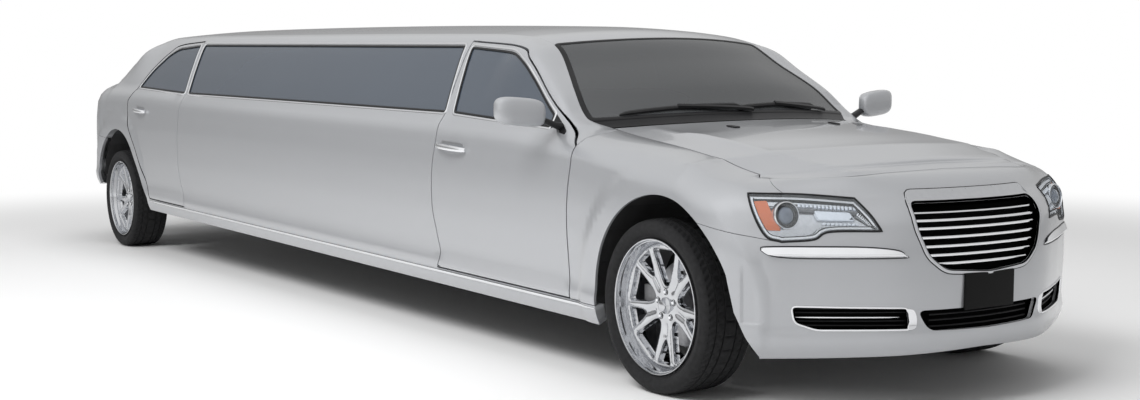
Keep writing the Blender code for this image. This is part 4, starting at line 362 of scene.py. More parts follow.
def rounded(points, radius, steps=5):
    """A closed outline with its corners rounded; radius is a length or one for each corner."""
    out = []
    for i, p in enumerate(points):
        r = radius[i] if isinstance(radius, (list, tuple)) else radius
        corner, before, after = Vector(p), Vector(points[i - 1]), Vector(points[(i + 1) % len(points)])
        r = min(r, 0.45 * (before - corner).length, 0.45 * (after - corner).length)
        if r < 1e-4:
            out.append(tuple(p))
            continue
        start = corner + (before - corner).normalized() * r
        end = corner + (after - corner).normalized() * r
        for t in spread(0.0, 1.0, steps):
            out.append(tuple(start * (1 - t) ** 2 + corner * 2 * t * (1 - t) + end * t ** 2))
    return out


def area(loop):
    return 0.5 * sum(a[0] * b[1] - b[0] * a[1] for a, b in zip(loop, loop[1:] + loop[:1]))


def cleaned(loop, least=0.0006):
    out = []
    for p in loop:
        if not out or math.dist(p, out[-1]) > least:
            out.append((float(p[0]), float(p[1])))
    if math.dist(out[0], out[-1]) <= least:
        out.pop()
    return out if area(out) > 0.0 else out[::-1]


def divided(path, step, scale=(1.0, 1.0), closed=True):
    """A loop, or a path that isn't closed, with points at most a step apart."""
    out = []
    for a, b in zip(path, path[1:] + path[:1] if closed else path[1:]):
        length = math.hypot((b[0] - a[0]) * scale[0], (b[1] - a[1]) * scale[1])
        parts = max(1, math.ceil(length / step - 0.01))
        out += [(mix(a[0], b[0], n / parts), mix(a[1], b[1], n / parts)) for n in range(parts)]
    return out if closed else out + [tuple(path[-1])]


def shifted(loop, distance, scale=(1.0, 1.0)):
    """The loop moved to its inside by a distance, or outside where it is negative."""
    p = np.array(loop, float) * scale
    turn = 1.0 if area(loop) > 0.0 else -1.0
    e0 = unit(p - np.roll(p, 1, axis=0))
    e1 = np.roll(e0, -1, axis=0)
    n = (np.stack((-e0[:, 1], e0[:, 0]), 1) + np.stack((-e1[:, 1], e1[:, 0]), 1)) * turn
    q = p + n * (distance * 2.0 / np.maximum((n ** 2).sum(1), 0.9))[:, None]
    return [tuple(row) for row in q / scale]


def inside(points, loop):
    x, y = points[:, 0], points[:, 1]
    hit = np.zeros(len(points), bool)
    for a, b in zip(loop, loop[1:] + loop[:1]):
        if a[1] != b[1]:
            hit ^= ((a[1] > y) != (b[1] > y)) & (x < a[0] + (b[0] - a[0]) * (y - a[1]) / (b[1] - a[1]))
    return hit


def to_edge(points, loop, scale=(1.0, 1.0)):
    p, q = points * scale, np.array(loop) * scale
    best = np.full(len(p), 1e9)
    for a, b in zip(q, np.roll(q, -1, axis=0)):
        d = b - a
        t = np.clip(((p - a) @ d) / max(d @ d, 1e-12), 0.0, 1.0)
        best = np.minimum(best, np.hypot(*(p - a - t[:, None] * d).T))
    return best


def filled(loops, cell, scale=(1.0, 1.0), extra=()):
    """A region with holes as flat points, boundary first, and triangles, on a regular grid inside."""
    flat, edges = [], []
    for loop in loops:
        first = len(flat)
        flat += loop
        edges += [(first + i, first + (i + 1) % len(loop)) for i in range(len(loop))]
    outer = np.array(loops[0]) * scale
    low, high = outer.min(0), outer.max(0)
    cells = cell if isinstance(cell, tuple) else (cell, cell)
    us = np.arange(low[0] + 0.5 * cells[0], high[0], cells[0])
    vs = np.arange(low[1] + 0.5 * cells[1], high[1], cells[1])
    grid = np.array([(u, v) for u in us for v in vs]).reshape(-1, 2) / scale
    if len(grid):
        keep = inside(grid, loops[0])
        for hole in loops[1:]:
            keep &= ~inside(grid, hole)
        grid = grid[keep]
        for loop in loops:
            if len(grid):
                grid = grid[to_edge(grid, loop, scale) > 0.35 * min(cells)]
        flat += [tuple(p) for p in grid]
    if len(extra):
        more = np.array(extra, float).reshape(-1, 2)
        more = more[inside(more, loops[0])]
        for hole in loops[1:]:
            more = more[~inside(more, hole)]
        for loop in loops:
            more = more[to_edge(more, loop, scale) > 0.0008] if len(more) else more
        flat += [tuple(p) for p in more]
    scaled = [Vector((x * scale[0], y * scale[1])) for x, y in flat]
    _, _, faces, origin, _, _ = delaunay_2d_cdt(scaled, edges, [], 0, 1e-9)
    source = [rows[0] if rows else -1 for rows in origin]
    triangles = [tuple(source[i] for i in face) for face in faces]
    triangles = [t for t in triangles if min(t) >= 0 and len(set(t)) == 3]
    points = np.array(flat)
    middles = points[np.array(triangles)].mean(1)
    keep = inside(middles, loops[0])
    for hole in loops[1:]:
        keep &= ~inside(middles, hole)
    return points, [t for t, k in zip(triangles, keep) if k]


# ---- Meshes ----

ALL = {}


def body_points(verts):
    return np.array(verts) @ np.array(BODY.to_3x3()).T + np.array(BODY.translation)


def make(name, verts, faces, finish, body, normals=None, hides=(), framed=True, smooth=35.0):
    """One mesh piece on a body. normals are one for each face corner, zero where none is set."""
    verts = np.array(verts, float)
    if framed:
        verts = body_points(verts)
    mesh = bpy.data.meshes.new(name)
    mesh.from_pydata([tuple(v) for v in verts], [], [tuple(int(i) for i in f) for f in faces])
    mesh.update()
    mesh.shade_smooth()
    if normals is not None:
        turned = np.array(normals, float) @ np.array(BODY.to_3x3()).T if framed else np.array(normals, float)
        mesh.normals_split_custom_set([tuple(n) for n in turned])
    else:
        mesh.set_sharp_from_angle(angle=math.radians(smooth))
    mesh.materials.append(MATERIALS[finish])
    made = bpy.data.objects.new(name, mesh)
    bpy.context.scene.collection.objects.link(made)
    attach(made, body)
    hides = [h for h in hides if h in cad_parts]
    if hides:
        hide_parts(*hides)
    ALL[name] = made
    return made


def mirrored(shape):
    verts, faces, normals = shape
    verts = np.array(verts) * (1.0, -1.0, 1.0)
    flipped, turned, at_loop = [], [], 0
    for f in faces:
        n = len(f)
        flipped.append(tuple(f[::-1]))
        if normals is not None:
            turned += [np.array(normals[at_loop + i]) * (1.0, -1.0, 1.0) for i in range(n)][::-1]
        at_loop += n
    return verts, flipped, turned if normals is not None else None


def put(name, shape, finish, body, hides=()):
    make(name, shape[0], shape[1], finish, body, shape[2], hides)


def pair(name, shape, finish, body, hides=(), framed=True, smooth=35.0):
    """The right-hand piece and its mirror on the left. {side} in names is filled in."""
    for side, form in (("right", shape), ("left", mirrored(shape))):
        fill = lambda text: text.replace("{side}", side)
        full = fill(name) if "{side}" in name else f"{name}_{side}"
        make(full, form[0], form[1], finish, fill(body), form[2], [fill(h) for h in hides], framed, smooth)


def sheet(place, loops, wall, cell=0.05, step=0.03, scale=(1.0, 1.0), depth=0.0, edge=0.0015, lift=None,
          extra=(), crowned=False):
    """A closed sheet with rounded edges on a surface, with its own smooth normals."""
    loops = [divided(cleaned(loop), step, scale) for loop in loops]
    drawn = [shifted(loop, edge * (1.0 if n == 0 else -1.0), scale) for n, loop in enumerate(loops)]
    half = [shifted(loop, 0.3 * edge * (1.0 if n == 0 else -1.0), scale) for n, loop in enumerate(loops)]
    extra = list(extra) + (crown_rows(loops[0]) if crowned or place is flank else [])
    flat, triangles = filled(drawn, cell, scale, extra)
    thick = wall if callable(wall) else (lambda uv: np.full(len(uv), wall))
    p, n = place(flat)
    if lift is not None:
        p = p + n * lift(flat)[:, None]
    outer = p - n * depth
    rim = np.array([q for loop in loops for q in loop])
    rim_half = np.array([q for loop in half for q in loop])
    ph, nh = place(rim_half)
    pr, nr = place(rim)
    count, edge_count = len(flat), len(rim)
    t = unit(pr - p[:edge_count] + 1e-9 * nr)
    verts = np.concatenate((
        outer, ph - nh * (depth + 0.3 * edge), pr - nr * (depth + edge),
        pr - nr * (depth + thick(rim))[:, None], (p - n * (depth + thick(flat))[:, None])[edge_count:]))
    starts = (0, count, count + edge_count, count + 2 * edge_count)
    ring_normals = (n[:edge_count], unit(n[:edge_count] + t), t, t)
    faces, normals = list(triangles), [n[i] for f in triangles for i in f]
    first = 0
    for loop in loops:
        size = len(loop)
        for k in range(3):
            a0, a1 = starts[k], starts[k + 1]
            for i in range(first, first + size):
                j = first + (i - first + 1) % size
                faces.append((a0 + i, a1 + i, a1 + j, a0 + j))
                normals += [ring_normals[k][i], ring_normals[k + 1][i], ring_normals[k + 1][j],
                            ring_normals[k][j]]
        first += size
    for f in triangles:
        faces.append(tuple(starts[3] + i for i in f[::-1]))
        normals += [-n[i] for i in f[::-1]]
    return verts, faces, normals


def sweep(points, normals, profile, closed=False, sizes=None):
    """A bar with a small section along a path: profile rows are (along the surface, out of it)."""
    points, normals = np.array(points, float), unit(np.array(normals, float))
    if closed:
        tangent = unit(np.roll(points, -1, 0) - np.roll(points, 1, 0))
    else:
        tangent = unit(np.gradient(points, axis=0))
    side = unit(np.cross(normals, tangent))
    count, m = len(points), len(profile)
    sizes = np.ones(count) if sizes is None else np.array(sizes)
    verts = [points[i] + (side[i] * a + normals[i] * b) * sizes[i] for i in range(count) for a, b in profile]
    faces = []
    for i in range(count if closed else count - 1):
        j = (i + 1) % count
        for k in range(m):
            l = (k + 1) % m
            faces.append((i * m + k, i * m + l, j * m + l, j * m + k))
    if not closed:
        faces += [tuple(range(m))[::-1], tuple(range((count - 1) * m, count * m))]
    return np.array(verts), faces, None


def strip(place, path, profile, closed=False, taper=0, step=0.03, scale=(1.0, 1.0), depth=0.0):
    """A moulding that lies on a surface along a path; taper is how many steps each end takes to thin out."""
    path = divided(cleaned(path) if closed else path, step, scale, closed)
    p, n = place(path)
    t = np.arange(len(p))
    sizes = np.clip((np.minimum(t, len(p) - 1 - t) + 0.25) / taper, 0.0, 1.0) ** 0.5 if taper else None
    return sweep(p - n * depth, n, profile, closed, sizes)


def bar(width, height, sink=0.001, steps=6):
    """A half-round section of a moulding, in order against the clock seen along the path."""
    turns = spread(0.0, math.pi, steps + 1)
    crown = [(0.5 * width * math.cos(t), height * math.sin(t) ** 0.7) for t in turns]
    return crown + [(-0.5 * width, -sink), (0.5 * width, -sink)]


def lathe(profile, segments):
    """A closed turned shape about Y; profile rows are (radius, place), the last joined to the first."""
    m = len(profile)
    verts, faces = [], []
    for n in range(segments):
        t = 2.0 * math.pi * n / segments
        for r, y in profile:
            verts.append((r * math.cos(t), y, r * math.sin(t)))
    for n in range(segments):
        a, b = n * m, (n + 1) % segments * m
        for k in range(m):
            l = (k + 1) % m
            faces.append((a + k, a + l, b + l, b + k))
    return np.array(verts), faces, None


def joined(*shapes):
    verts, faces = [], []
    for v, f, _ in shapes:
        base = sum(len(x) for x in verts)
        verts.append(np.array(v, float))
        faces += [tuple(i + base for i in q) for q in f]
    return np.concatenate(verts), faces, None


def soft_box(low, high, radius=0.012, steps=3):
    """A box with rounded edges, as a closed mesh."""
    low, high = np.array(low, float), np.array(high, float)
    r = min(radius, 0.49 * float((high - low).min()))
    core_low, core_high = low + r, high - r
    verts, faces, index = [], [], {}
    lattice = []
    for axis in range(3):
        ts = [-1 + k / steps for k in range(steps + 1)] + [k / steps for k in range(steps + 1)]
        lattice.append(ts)
    size = 2 * (steps + 1)

    def vert(i, j, k):
        key = (i, j, k)
        if key not in index:
            q = np.array([lattice[0][i], lattice[1][j], lattice[2][k]])
            halfway = np.array([0 if m < steps + 1 else 1 for m in (i, j, k)])
            core = np.where(halfway == 0, core_low, core_high)
            length = np.linalg.norm(q)
            d = q / length if length > 0 else q
            index[key] = len(verts)
            verts.append(core + d * r)
        return index[key]

    last = size - 1
    for axis in range(3):
        for end in (0, last):
            for a in range(last):
                for b in range(last):
                    quad = []
                    for da, db in ((0, 0), (1, 0), (1, 1), (0, 1)):
                        ijk = [0, 0, 0]
                        ijk[axis] = end
                        ijk[(axis + 1) % 3] = a + da
                        ijk[(axis + 2) % 3] = b + db
                        quad.append(vert(*ijk))
                    faces.append(tuple(quad if end else quad[::-1]))
    return np.array(verts), faces, None


def moved(shape, matrix):
    v = np.array(shape[0]) @ np.array(matrix.to_3x3()).T + np.array(matrix.translation)
    return v, shape[1], None


# ---- Materials ----

MATERIALS = {}
WHITE = (1.0, 1.0, 1.0, 1.0)


def join(tree, node, inputs):
    """Sets inputs: each row is (socket, value) or (socket, node, output)."""
    for socket, source, *output in inputs:
        if output:
            tree.links.new(source.outputs[output[0]], node.inputs[socket])
        else:
            node.inputs[socket].default_value = source


def add_node(tree, kind, inputs=(), operation=None, smooth=False):
    made = tree.nodes.new("ShaderNode" + kind)
    if operation:
        made.operation = operation
    if smooth:
        made.interpolation_type = "SMOOTHSTEP"
    join(tree, made, inputs)
    return made


def add_ramp(tree, noise, colour, vary, ends=(0.0, 1.0)):
    ramp = add_node(tree, "ValToRGB", (("Fac", noise, "Fac"),))
    for element, end, share in zip(ramp.color_ramp.elements, ends, (1.0 - vary, 1.0 + vary)):
        element.position = end
        element.color = (*[min(max(c * share, 0.0), 1.0) for c in colour], 1.0)
    return ramp


def material(name, colour, rough, metallic=0.0, coat=0.0, vary=0.04, scale=30.0, bump=0.0, bump_scale=200.0,
             rough_vary=0.05, specular=0.5):
    made = bpy.data.materials.new("look_" + name)
    made.use_nodes = True
    tree = made.node_tree
    place = add_node(tree, "TexCoord")
    noise = add_node(tree, "TexNoise", (("Scale", scale), ("Detail", 4.0), ("Vector", place, "Object")))
    ramp = add_ramp(tree, noise, colour, vary, (0.3, 0.7))
    low_rough, high_rough = max(rough - rough_vary * rough, 0.0), min(rough + rough_vary * rough, 1.0)
    worn = add_node(tree, "MapRange", (("To Min", low_rough), ("To Max", high_rough),
                                       ("Value", noise, "Fac")))
    shader = tree.nodes["Principled BSDF"]
    join(tree, shader, (
        ("Metallic", metallic), ("Coat Weight", coat), ("Coat Roughness", 0.04),
        ("Specular IOR Level", specular), ("Base Color", ramp, "Color"), ("Roughness", worn, "Result"),
    ))
    if bump:
        fine = add_node(tree, "TexNoise", (("Scale", bump_scale), ("Detail", 3.0),
                ("Vector", place, "Object")))
        relief = add_node(tree, "Bump", (("Strength", bump), ("Distance", 0.002), ("Height", fine, "Fac")))
        join(tree, shader, (("Normal", relief, "Normal"),))
    MATERIALS[name] = made
    return made


def clear_layer(name, tint, gloss_colour, base, strength, rough=0.02, ior=1.5):
    """Glass as a mix of tinted see-through and gloss, so that light reaches what is behind it."""
    made = bpy.data.materials.new("look_" + name)
    made.use_nodes = True
    tree = made.node_tree
    place = add_node(tree, "TexCoord")
    noise = add_node(tree, "TexNoise", (("Scale", 2.0), ("Vector", place, "Object")))
    ramp = add_ramp(tree, noise, base, 0.04)
    shader = tree.nodes["Principled BSDF"]
    join(tree, shader, (
        ("Roughness", rough), ("IOR", ior), ("Specular IOR Level", gloss_colour),
        ("Base Color", ramp, "Color"),
    ))
    clear = add_node(tree, "BsdfTransparent", (("Color", (*tint, 1.0)),))
    blend = add_node(tree, "MixShader", (("Fac", strength), (1, clear, "BSDF"), (2, shader, "BSDF")))
    join(tree, tree.nodes["Material Output"], (("Surface", blend, "Shader"),))
    MATERIALS[name] = made
    return made


material("paint", (0.46, 0.47, 0.49), 0.30, metallic=0.45, coat=0.9, vary=0.035, scale=900.0, bump=0.02,
         bump_scale=1500.0)
material("chrome", (0.86, 0.87, 0.89), 0.06, metallic=1.0, vary=0.02, scale=12.0)
material("satin", (0.62, 0.63, 0.65), 0.28, metallic=1.0, vary=0.03, scale=40.0)
material("rubber", (0.022, 0.022, 0.023), 0.62, vary=0.20, scale=60.0, bump=0.25, bump_scale=500.0)
material("trim", (0.010, 0.010, 0.011), 0.45, vary=0.15, scale=120.0, bump=0.10, bump_scale=900.0,
         specular=0.3)
material("gloss_black", (0.006, 0.006, 0.007), 0.10, coat=0.6, vary=0.15, scale=30.0)
material("under", (0.030, 0.030, 0.031), 0.75, vary=0.30, scale=9.0, bump=0.35, bump_scale=60.0)
material("steel", (0.26, 0.26, 0.27), 0.42, metallic=0.9, vary=0.15, scale=25.0, bump=0.12, bump_scale=300.0)
material("cast", (0.30, 0.30, 0.31), 0.50, metallic=0.35, vary=0.12, scale=60.0, bump=0.25, bump_scale=260.0)
material("disc", (0.42, 0.42, 0.43), 0.30, metallic=1.0, vary=0.10, scale=80.0)
material("leather", (0.030, 0.029, 0.030), 0.48, vary=0.15, scale=25.0, bump=0.30, bump_scale=420.0)
material("carpet", (0.020, 0.020, 0.021), 0.95, vary=0.35, scale=300.0, bump=0.6, bump_scale=900.0)
material("amber", (0.62, 0.13, 0.02), 0.16, coat=0.8, vary=0.10, scale=160.0)
material("red", (0.34, 0.012, 0.014), 0.14, coat=0.9, vary=0.12, scale=140.0)
material("silver_bowl", (0.66, 0.67, 0.69), 0.16, metallic=1.0, vary=0.06, scale=60.0)
material("bulb", (0.80, 0.84, 0.90), 0.05, metallic=0.6, coat=1.0, vary=0.05, scale=30.0)
material("dome", (0.16, 0.19, 0.24), 0.04, coat=1.0, vary=0.10, scale=30.0)
# Near black and almost without gloss: painted shade for the backs and inner walls of the openings
material("painted_shade", (0.004, 0.004, 0.004), 0.95, vary=0.20, scale=20.0, specular=0.05)
# The wheels' chrome, darkened from the other chrome as painted shade for the darker surroundings it reflects
material("shaded_rim_chrome", (0.60, 0.61, 0.63), 0.09, metallic=1.0, vary=0.03, scale=20.0)
material("tread", (0.020, 0.020, 0.021), 0.78, vary=0.25, scale=50.0, bump=0.35, bump_scale=420.0,
         specular=0.25)
material("plate", (0.004, 0.004, 0.004), 0.55, vary=0.10, scale=20.0, specular=0.15)
clear_layer("side_pane", (0.16, 0.18, 0.20), 0.9, (0.085, 0.105, 0.135), 0.80)
clear_layer("screen_pane", (0.34, 0.35, 0.36), 0.9, (0.115, 0.120, 0.125), 0.62)
clear_layer("lens", (0.97, 0.98, 0.99), 0.8, (0.75, 0.78, 0.80), 0.07)

NODE_LOOKS = {
    "subframe": "steel", "engine": "cast", "rear_axle": "steel", "exhaust": "steel", "floor_pan": "under",
    "knuckle_left": "cast", "knuckle_right": "cast", "dashboard": "trim", "partition": "trim",
    "trunk_floor": "under", "inner_sill_left": "under", "inner_sill_right": "under",
    "front_frame_left": "under", "front_frame_right": "under", "rear_wheelhouse_left": "under",
    "rear_wheelhouse_right": "under", "taillamp_left": "red", "taillamp_right": "red",
}
for name, look in NODE_LOOKS.items():
    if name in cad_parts:
        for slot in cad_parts[name].material_slots:
            slot.material = MATERIALS[look]

# ---- Outlines on the flank ----

# How closely the sheets are divided
COARSE, PANEL, FINE = {"cell": 0.05, "step": 0.03}, {"cell": 0.03, "step": 0.02}, {"cell": 0.02, "step": 0.02}

DOOR_BOTTOM, WINDOW_BOTTOM, WINDOW_TOP = 0.308, 1.056, 1.378
FRONT_CUT, FRONT_REAR, REAR_CUT, REAR_REAR = -0.600, -1.790, -5.360, -6.410
PILLAR_WIDTH = 0.042
PILLAR_FOOT, COWL_FRONT, COWL_BACK, HEADER = -0.1064, -0.1130, -0.1250, -0.1985
ROOF_REAR, DECK_FRONT, HOOD_CORNER, LAMP_SEAM, LAMP_INNER = -0.9350, -1.0250, 0.330, -1.330, -1.560
TAIL_SEAM = 0.494 * ROOF
DOOR_GAP, FIXED_GAP = 0.0030, 0.0012


def door_place(rows, front, back):
    return [(front + s * (back - front), DOOR_BOTTOM + t * (WINDOW_BOTTOM - DOOR_BOTTOM)) for s, t in rows]


def window_place(rows, front, back):
    return [(front + s * (back - front), WINDOW_BOTTOM + t * (WINDOW_TOP - WINDOW_BOTTOM)) for s, t in rows]


FRONT_WINDOW = window_place(((0.945, 0.0), (1.035, 0.985), (0.640, 0.905), (0.515, 0.735), (0.315, 0.265),
                             (0.225, 0.07), (0.225, -0.10)), FRONT_CUT, FRONT_REAR)
REAR_WINDOW = window_place(((0.025, 0.0), (0.155, 0.985), (0.52, 0.91), (0.64, 0.77), (0.80, 0.43),
                            (0.90, 0.06)), REAR_CUT, REAR_REAR)
front_cut = curved(door_place(((-0.015, 0.0), (0.007, 0.40), (0.006, 0.58), (-0.006, 0.78), (0.0, 0.870)),
                              FRONT_CUT, FRONT_REAR))
front_back = curved(door_place(((0.975, 0.0), (0.955, 0.10), (0.982, 0.22), (1.018, 0.40), (1.021, 0.64),
                                (1.0, 0.85)), FRONT_CUT, FRONT_REAR))
frame_top = shifted(FRONT_WINDOW, -0.66 * PILLAR_WIDTH)[1:5]
front_top = curved(frame_top + [front_cut[-1]])
front_rest = front_back + front_top[:-1]
rear_cut = curved(door_place(((-0.105, 0.0), (-0.09, 0.09), (-0.012, 0.30), (0.005, 0.60), (0.0, 0.83)),
                             REAR_CUT, REAR_REAR))
rear_back = curved(door_place(((0.55, 0.0), (0.66, 0.21), (0.79, 0.44), (0.92, 0.62), (0.99, 0.76),
                               (1.01, 0.90)), REAR_CUT, REAR_REAR))
rear_top = shifted(REAR_WINDOW, -0.66 * PILLAR_WIDTH)
rear_door = rear_cut + [rear_top[0], rear_top[1]] + curved(rear_top[1:6], 6)[1:] + rear_back[::-1]
front_door = [front_cut[0]] + front_rest + front_cut[::-1][:-1]
rise = WINDOW_TOP - WINDOW_BOTTOM
side_front, side_back = FRONT_REAR - 0.5 * PILLAR_WIDTH, REAR_CUT + PILLAR_WIDTH
SIDE_WINDOW = [(side_front, WINDOW_BOTTOM), (side_front - rise * 0.30, WINDOW_TOP),
               (side_back - rise * 0.41, WINDOW_TOP), (side_back, WINDOW_BOTTOM)]


def top_edge(start, end, count=60):
    return [(at(s), float(top_z(s))) for s in spread(start, end, count)]


def front_arch(start, end, steps):
    return arc(FRONT_OPENING[:2], FRONT_OPENING[2], start, end, steps)


def rear_arch(start, end, steps):
    return arc(REAR_OPENING[:2], REAR_OPENING[2], start, end, steps)


def spot(row):
    return at(row[0]), row[1] * ROOF


def across(points):
    return points + [(2.0 * NOSE_MIDDLE - g, z) for g, z in points[::-1] if abs(g - NOSE_MIDDLE) > 1e-4]


LAMP = [spot(row) for row in ((0.266, 0.560), (0.580, 0.548), (0.648, 0.4695), (0.505, 0.468),
                              (0.460, 0.449), (0.372, 0.443), (0.322, 0.463))]
lamp_top = curved([LAMP[0], (mix(LAMP[0][0], LAMP[1][0], 0.5), mix(LAMP[0][1], LAMP[1][1], 0.5) + 0.006),
                   LAMP[1]])
lamp_side = curved([LAMP[1], (mix(LAMP[1][0], LAMP[2][0], 0.5) + 0.006, mix(LAMP[1][1], LAMP[2][1], 0.5)),
                    LAMP[2]])
lamp_foot = curved([LAMP[2], LAMP[3], LAMP[4], LAMP[5]])
lamp_outer = curved([LAMP[5], LAMP[6], LAMP[0]])
lamp_loop = lamp_top[:-1] + lamp_side[:-1] + lamp_foot[:-1] + lamp_outer[:-1]
GRILLE = across([spot(row) for row in ((0.740, 0.538), (0.748, 0.480), (0.785, 0.405), (0.840, 0.368),
                                       (1.000, 0.357))])
FOG = [spot(row) for row in ((0.400, 0.282), (0.725, 0.277), (0.735, 0.222), (0.470, 0.222), (0.410, 0.240))]
INTAKE = across([spot(row) for row in ((0.755, 0.268), (0.790, 0.218), (1.000, 0.214))])

sill_top = front_arch(188.5, 188.5, 1)[0]
bottom = float(bottom_z(-0.5))
rear_foot = [(-6.600 + s * 0.440, 0.325 + t * 0.440) for s, t in ((1.36, -0.04), (1.04, 0.36), (0.695, 0.73))]
side_outline = [sill_top, front_cut[0]] + front_rest + [front_cut[-1]]
side_outline += top_edge(PILLAR_FOOT, HEADER, 160)[:-1]
side_outline += top_edge(HEADER, ROOF_REAR, 100)[:-1] + top_edge(ROOF_REAR, LAMP_SEAM, 260)
side_outline += [(at(LAMP_SEAM), TAIL_SEAM)] + rear_arch(124.0, 48.0, 24) + curved(rear_foot[::-1])
side_outline += [(rear_foot[0][0], bottom), (sill_top[0], bottom)]


def cabin_wall(uv):
    return mix(0.046, 0.022, ease((uv[:, 1] / ROOF - 0.590) / 0.035))


def door_wall(uv):
    return np.full(len(uv), 0.021)


fender = [front_cut[0]] + front_arch(188.5, 53.4, 48) + lamp_outer[:-1] + lamp_top[:7]
fender += top_edge(HOOD_CORNER, PILLAR_FOOT, 120) + front_cut[::-1][:-1]
foot = [(0.050 + s * 0.430, 0.370 + t * 0.430) for s, t in ((1.00, 0.05), (1.10, -0.15), (1.22, -0.335))]
nose_half = [(foot[-1][0], float(bottom_z(HOOD_CORNER)))] + curved(foot[::-1]) + front_arch(22.0, 53.4, 10)
nose_half += lamp_foot[::-1] + lamp_side[::-1][1:] + lamp_top[::-1][1:-6] + top_edge(HOOD_CORNER, 1.0, 40)
nose_bottom = [(at(s), float(bottom_z(s))) for s in spread(1.0, 0.45, 16)]
nose_outline = across(nose_half) + [(2.0 * NOSE_MIDDLE - g, z) for g, z in nose_bottom[::-1]]
nose_outline += nose_bottom[1:]
tail_half = [(at(s), TAIL_SEAM) for s in spread(-2.0, LAMP_SEAM, 30)] + rear_arch(124.0, 158.0, 12)
tail_foot = [(-6.600 + s * 0.440, 0.325 + t * 0.440) for s, t in ((-0.955, 0.20), (-0.970, 0.03))]
tail_half += curved([rear_arch(158.0, 158.0, 1)[0]] + tail_foot)[1:]
tail_half += [(at(s), float(bottom_z(s))) for s in spread(-1.12, -2.0, 24)]
tail_outline = tail_half + [(2.0 * TAIL_MIDDLE - g, z) for g, z in tail_half[::-1]][1:-1]

# ---- Painted panels ----

pair("skin_side", sheet(flank, [shifted(cleaned(side_outline), FIXED_GAP), rounded(SIDE_WINDOW, 0.02),
                                rear_door], cabin_wall),
     "paint", "body", ["body_side_{side}"])
front_pane = rounded(FRONT_WINDOW, (0.02, 0.02, 0.08, 0.05, 0.05, 0.01, 0.01))
rear_pane = rounded(REAR_WINDOW, (0.02, 0.02, 0.06, 0.05, 0.05, 0.02))
for name, loop, pane in (("front_door", front_door, front_pane), ("rear_door", rear_door, rear_pane)):
    pair(f"skin_{name}", sheet(flank, [shifted(cleaned(loop), 2 * DOOR_GAP), pane], door_wall), "paint",
         f"{name}_{{side}}", [f"{name}_{{side}}"])
pair("skin_fender", sheet(flank, [shifted(cleaned(fender), FIXED_GAP)], 0.012, cell=0.03), "paint",
     "body", ["fender_{side}"])
grille_loop = rounded(cleaned(GRILLE), 0.03)
fog_loop = rounded(cleaned(FOG), 0.02)
fog_left_loop = [(2.0 * NOSE_MIDDLE - g, z) for g, z in fog_loop]
intake_loop = rounded(cleaned(INTAKE), 0.03)


def flute(uv):
    """A hollow down each corner of the bumper, with a ledge at its foot."""
    g = np.where(uv[:, 0] > NOSE_MIDDLE, 2.0 * NOSE_MIDDLE - uv[:, 0], uv[:, 0])
    wide = ease((g - FLUTE_OUTER) / 0.014) * ease((FLUTE_INNER - g) / 0.055)
    return -0.008 * wide * ease((uv[:, 1] - 0.350) / 0.012) * ease((0.600 - uv[:, 1]) / 0.090)


FLUTE_OUTER, FLUTE_INNER = at(0.262), at(0.335)
fine = [(g, z) for g in np.arange(FLUTE_OUTER - 0.01, FLUTE_INNER + 0.01, 0.006)
        for z in np.arange(0.342, 0.60, 0.006)]
fine += [(2.0 * NOSE_MIDDLE - g, z) for g, z in fine]
loops = [shifted(cleaned(nose_outline), FIXED_GAP), grille_loop, fog_loop, fog_left_loop, intake_loop]
shape = sheet(raised(flank, flute), loops, 0.020, **PANEL, extra=fine, crowned=True)
put("skin_nose", shape, "paint", "body", ["front_bumper"])
shape = sheet(flank, [shifted(cleaned(tail_outline), FIXED_GAP)], 0.020, **PANEL)
put("skin_tail", shape, "paint", "body", ["rear_bumper"])


def bowed(station, bow):
    corner = top_line(station)[0]

    def line(a):
        rise = 1.0 - a * a
        return np.stack((corner[0] + bow[0] * rise, -a * corner[1], corner[2] + bow[1] * rise), axis=1)

    return line


def side_edge(start, end):
    return lambda b: top_line(mix(start, end, b))


def nose_edge(a):
    s = HOOD_CORNER + (1.0 - HOOD_CORNER) * (1.0 - np.abs(a))
    p = top_line(s)
    return p * np.stack((np.ones_like(a), np.where(a > 0.0, -1.0, 1.0), np.ones_like(a)), axis=1)


def deck_edge(a):
    s = -2.0 + (2.0 + LAMP_INNER) * np.abs(a)
    p = top_line(s)
    return p * np.stack((np.ones_like(a), np.where(a > 0.0, -1.0, 1.0), np.ones_like(a)), axis=1)


HOOD_REAR, SCREEN_FOOT = bowed(COWL_FRONT, (0.210, 0.030)), bowed(COWL_BACK, (0.210, 0.028))
HEAD, ROOF_END = bowed(HEADER, (0.110, 0.030)), bowed(ROOF_REAR, (-0.120, 0.030))
DECK_LINE = bowed(DECK_FRONT, (-0.160, 0.020))
DECKS = (
    ("roof", HEAD, ROOF_END, (HEADER, ROOF_REAR), 0.022, 0.60, 5.2, FIXED_GAP, 0.020, "paint", "body", ()),
    ("windshield", SCREEN_FOOT, HEAD, (COWL_BACK, HEADER), 0.010, 0.62, 0.62, 0.004, 0.006, "screen_pane",
     "body", ()),
    ("cowl", HOOD_REAR, SCREEN_FOOT, (COWL_FRONT, COWL_BACK), 0.0, 0.66, 0.084, FIXED_GAP, 0.006, "trim",
     "body", ()),
    ("rear_window", ROOF_END, DECK_LINE, (ROOF_REAR, DECK_FRONT), 0.010, 0.58, 0.58, 0.004, 0.006,
     "side_pane", "body", ()),
    ("hood", nose_edge, HOOD_REAR, (HOOD_CORNER, COWL_FRONT), 0.022, 0.65, 1.1, 0.0045, 0.016, "paint",
     "hood", ((0.60, 0.80, 0.013, 0.15),)),
)
PLACES = {}
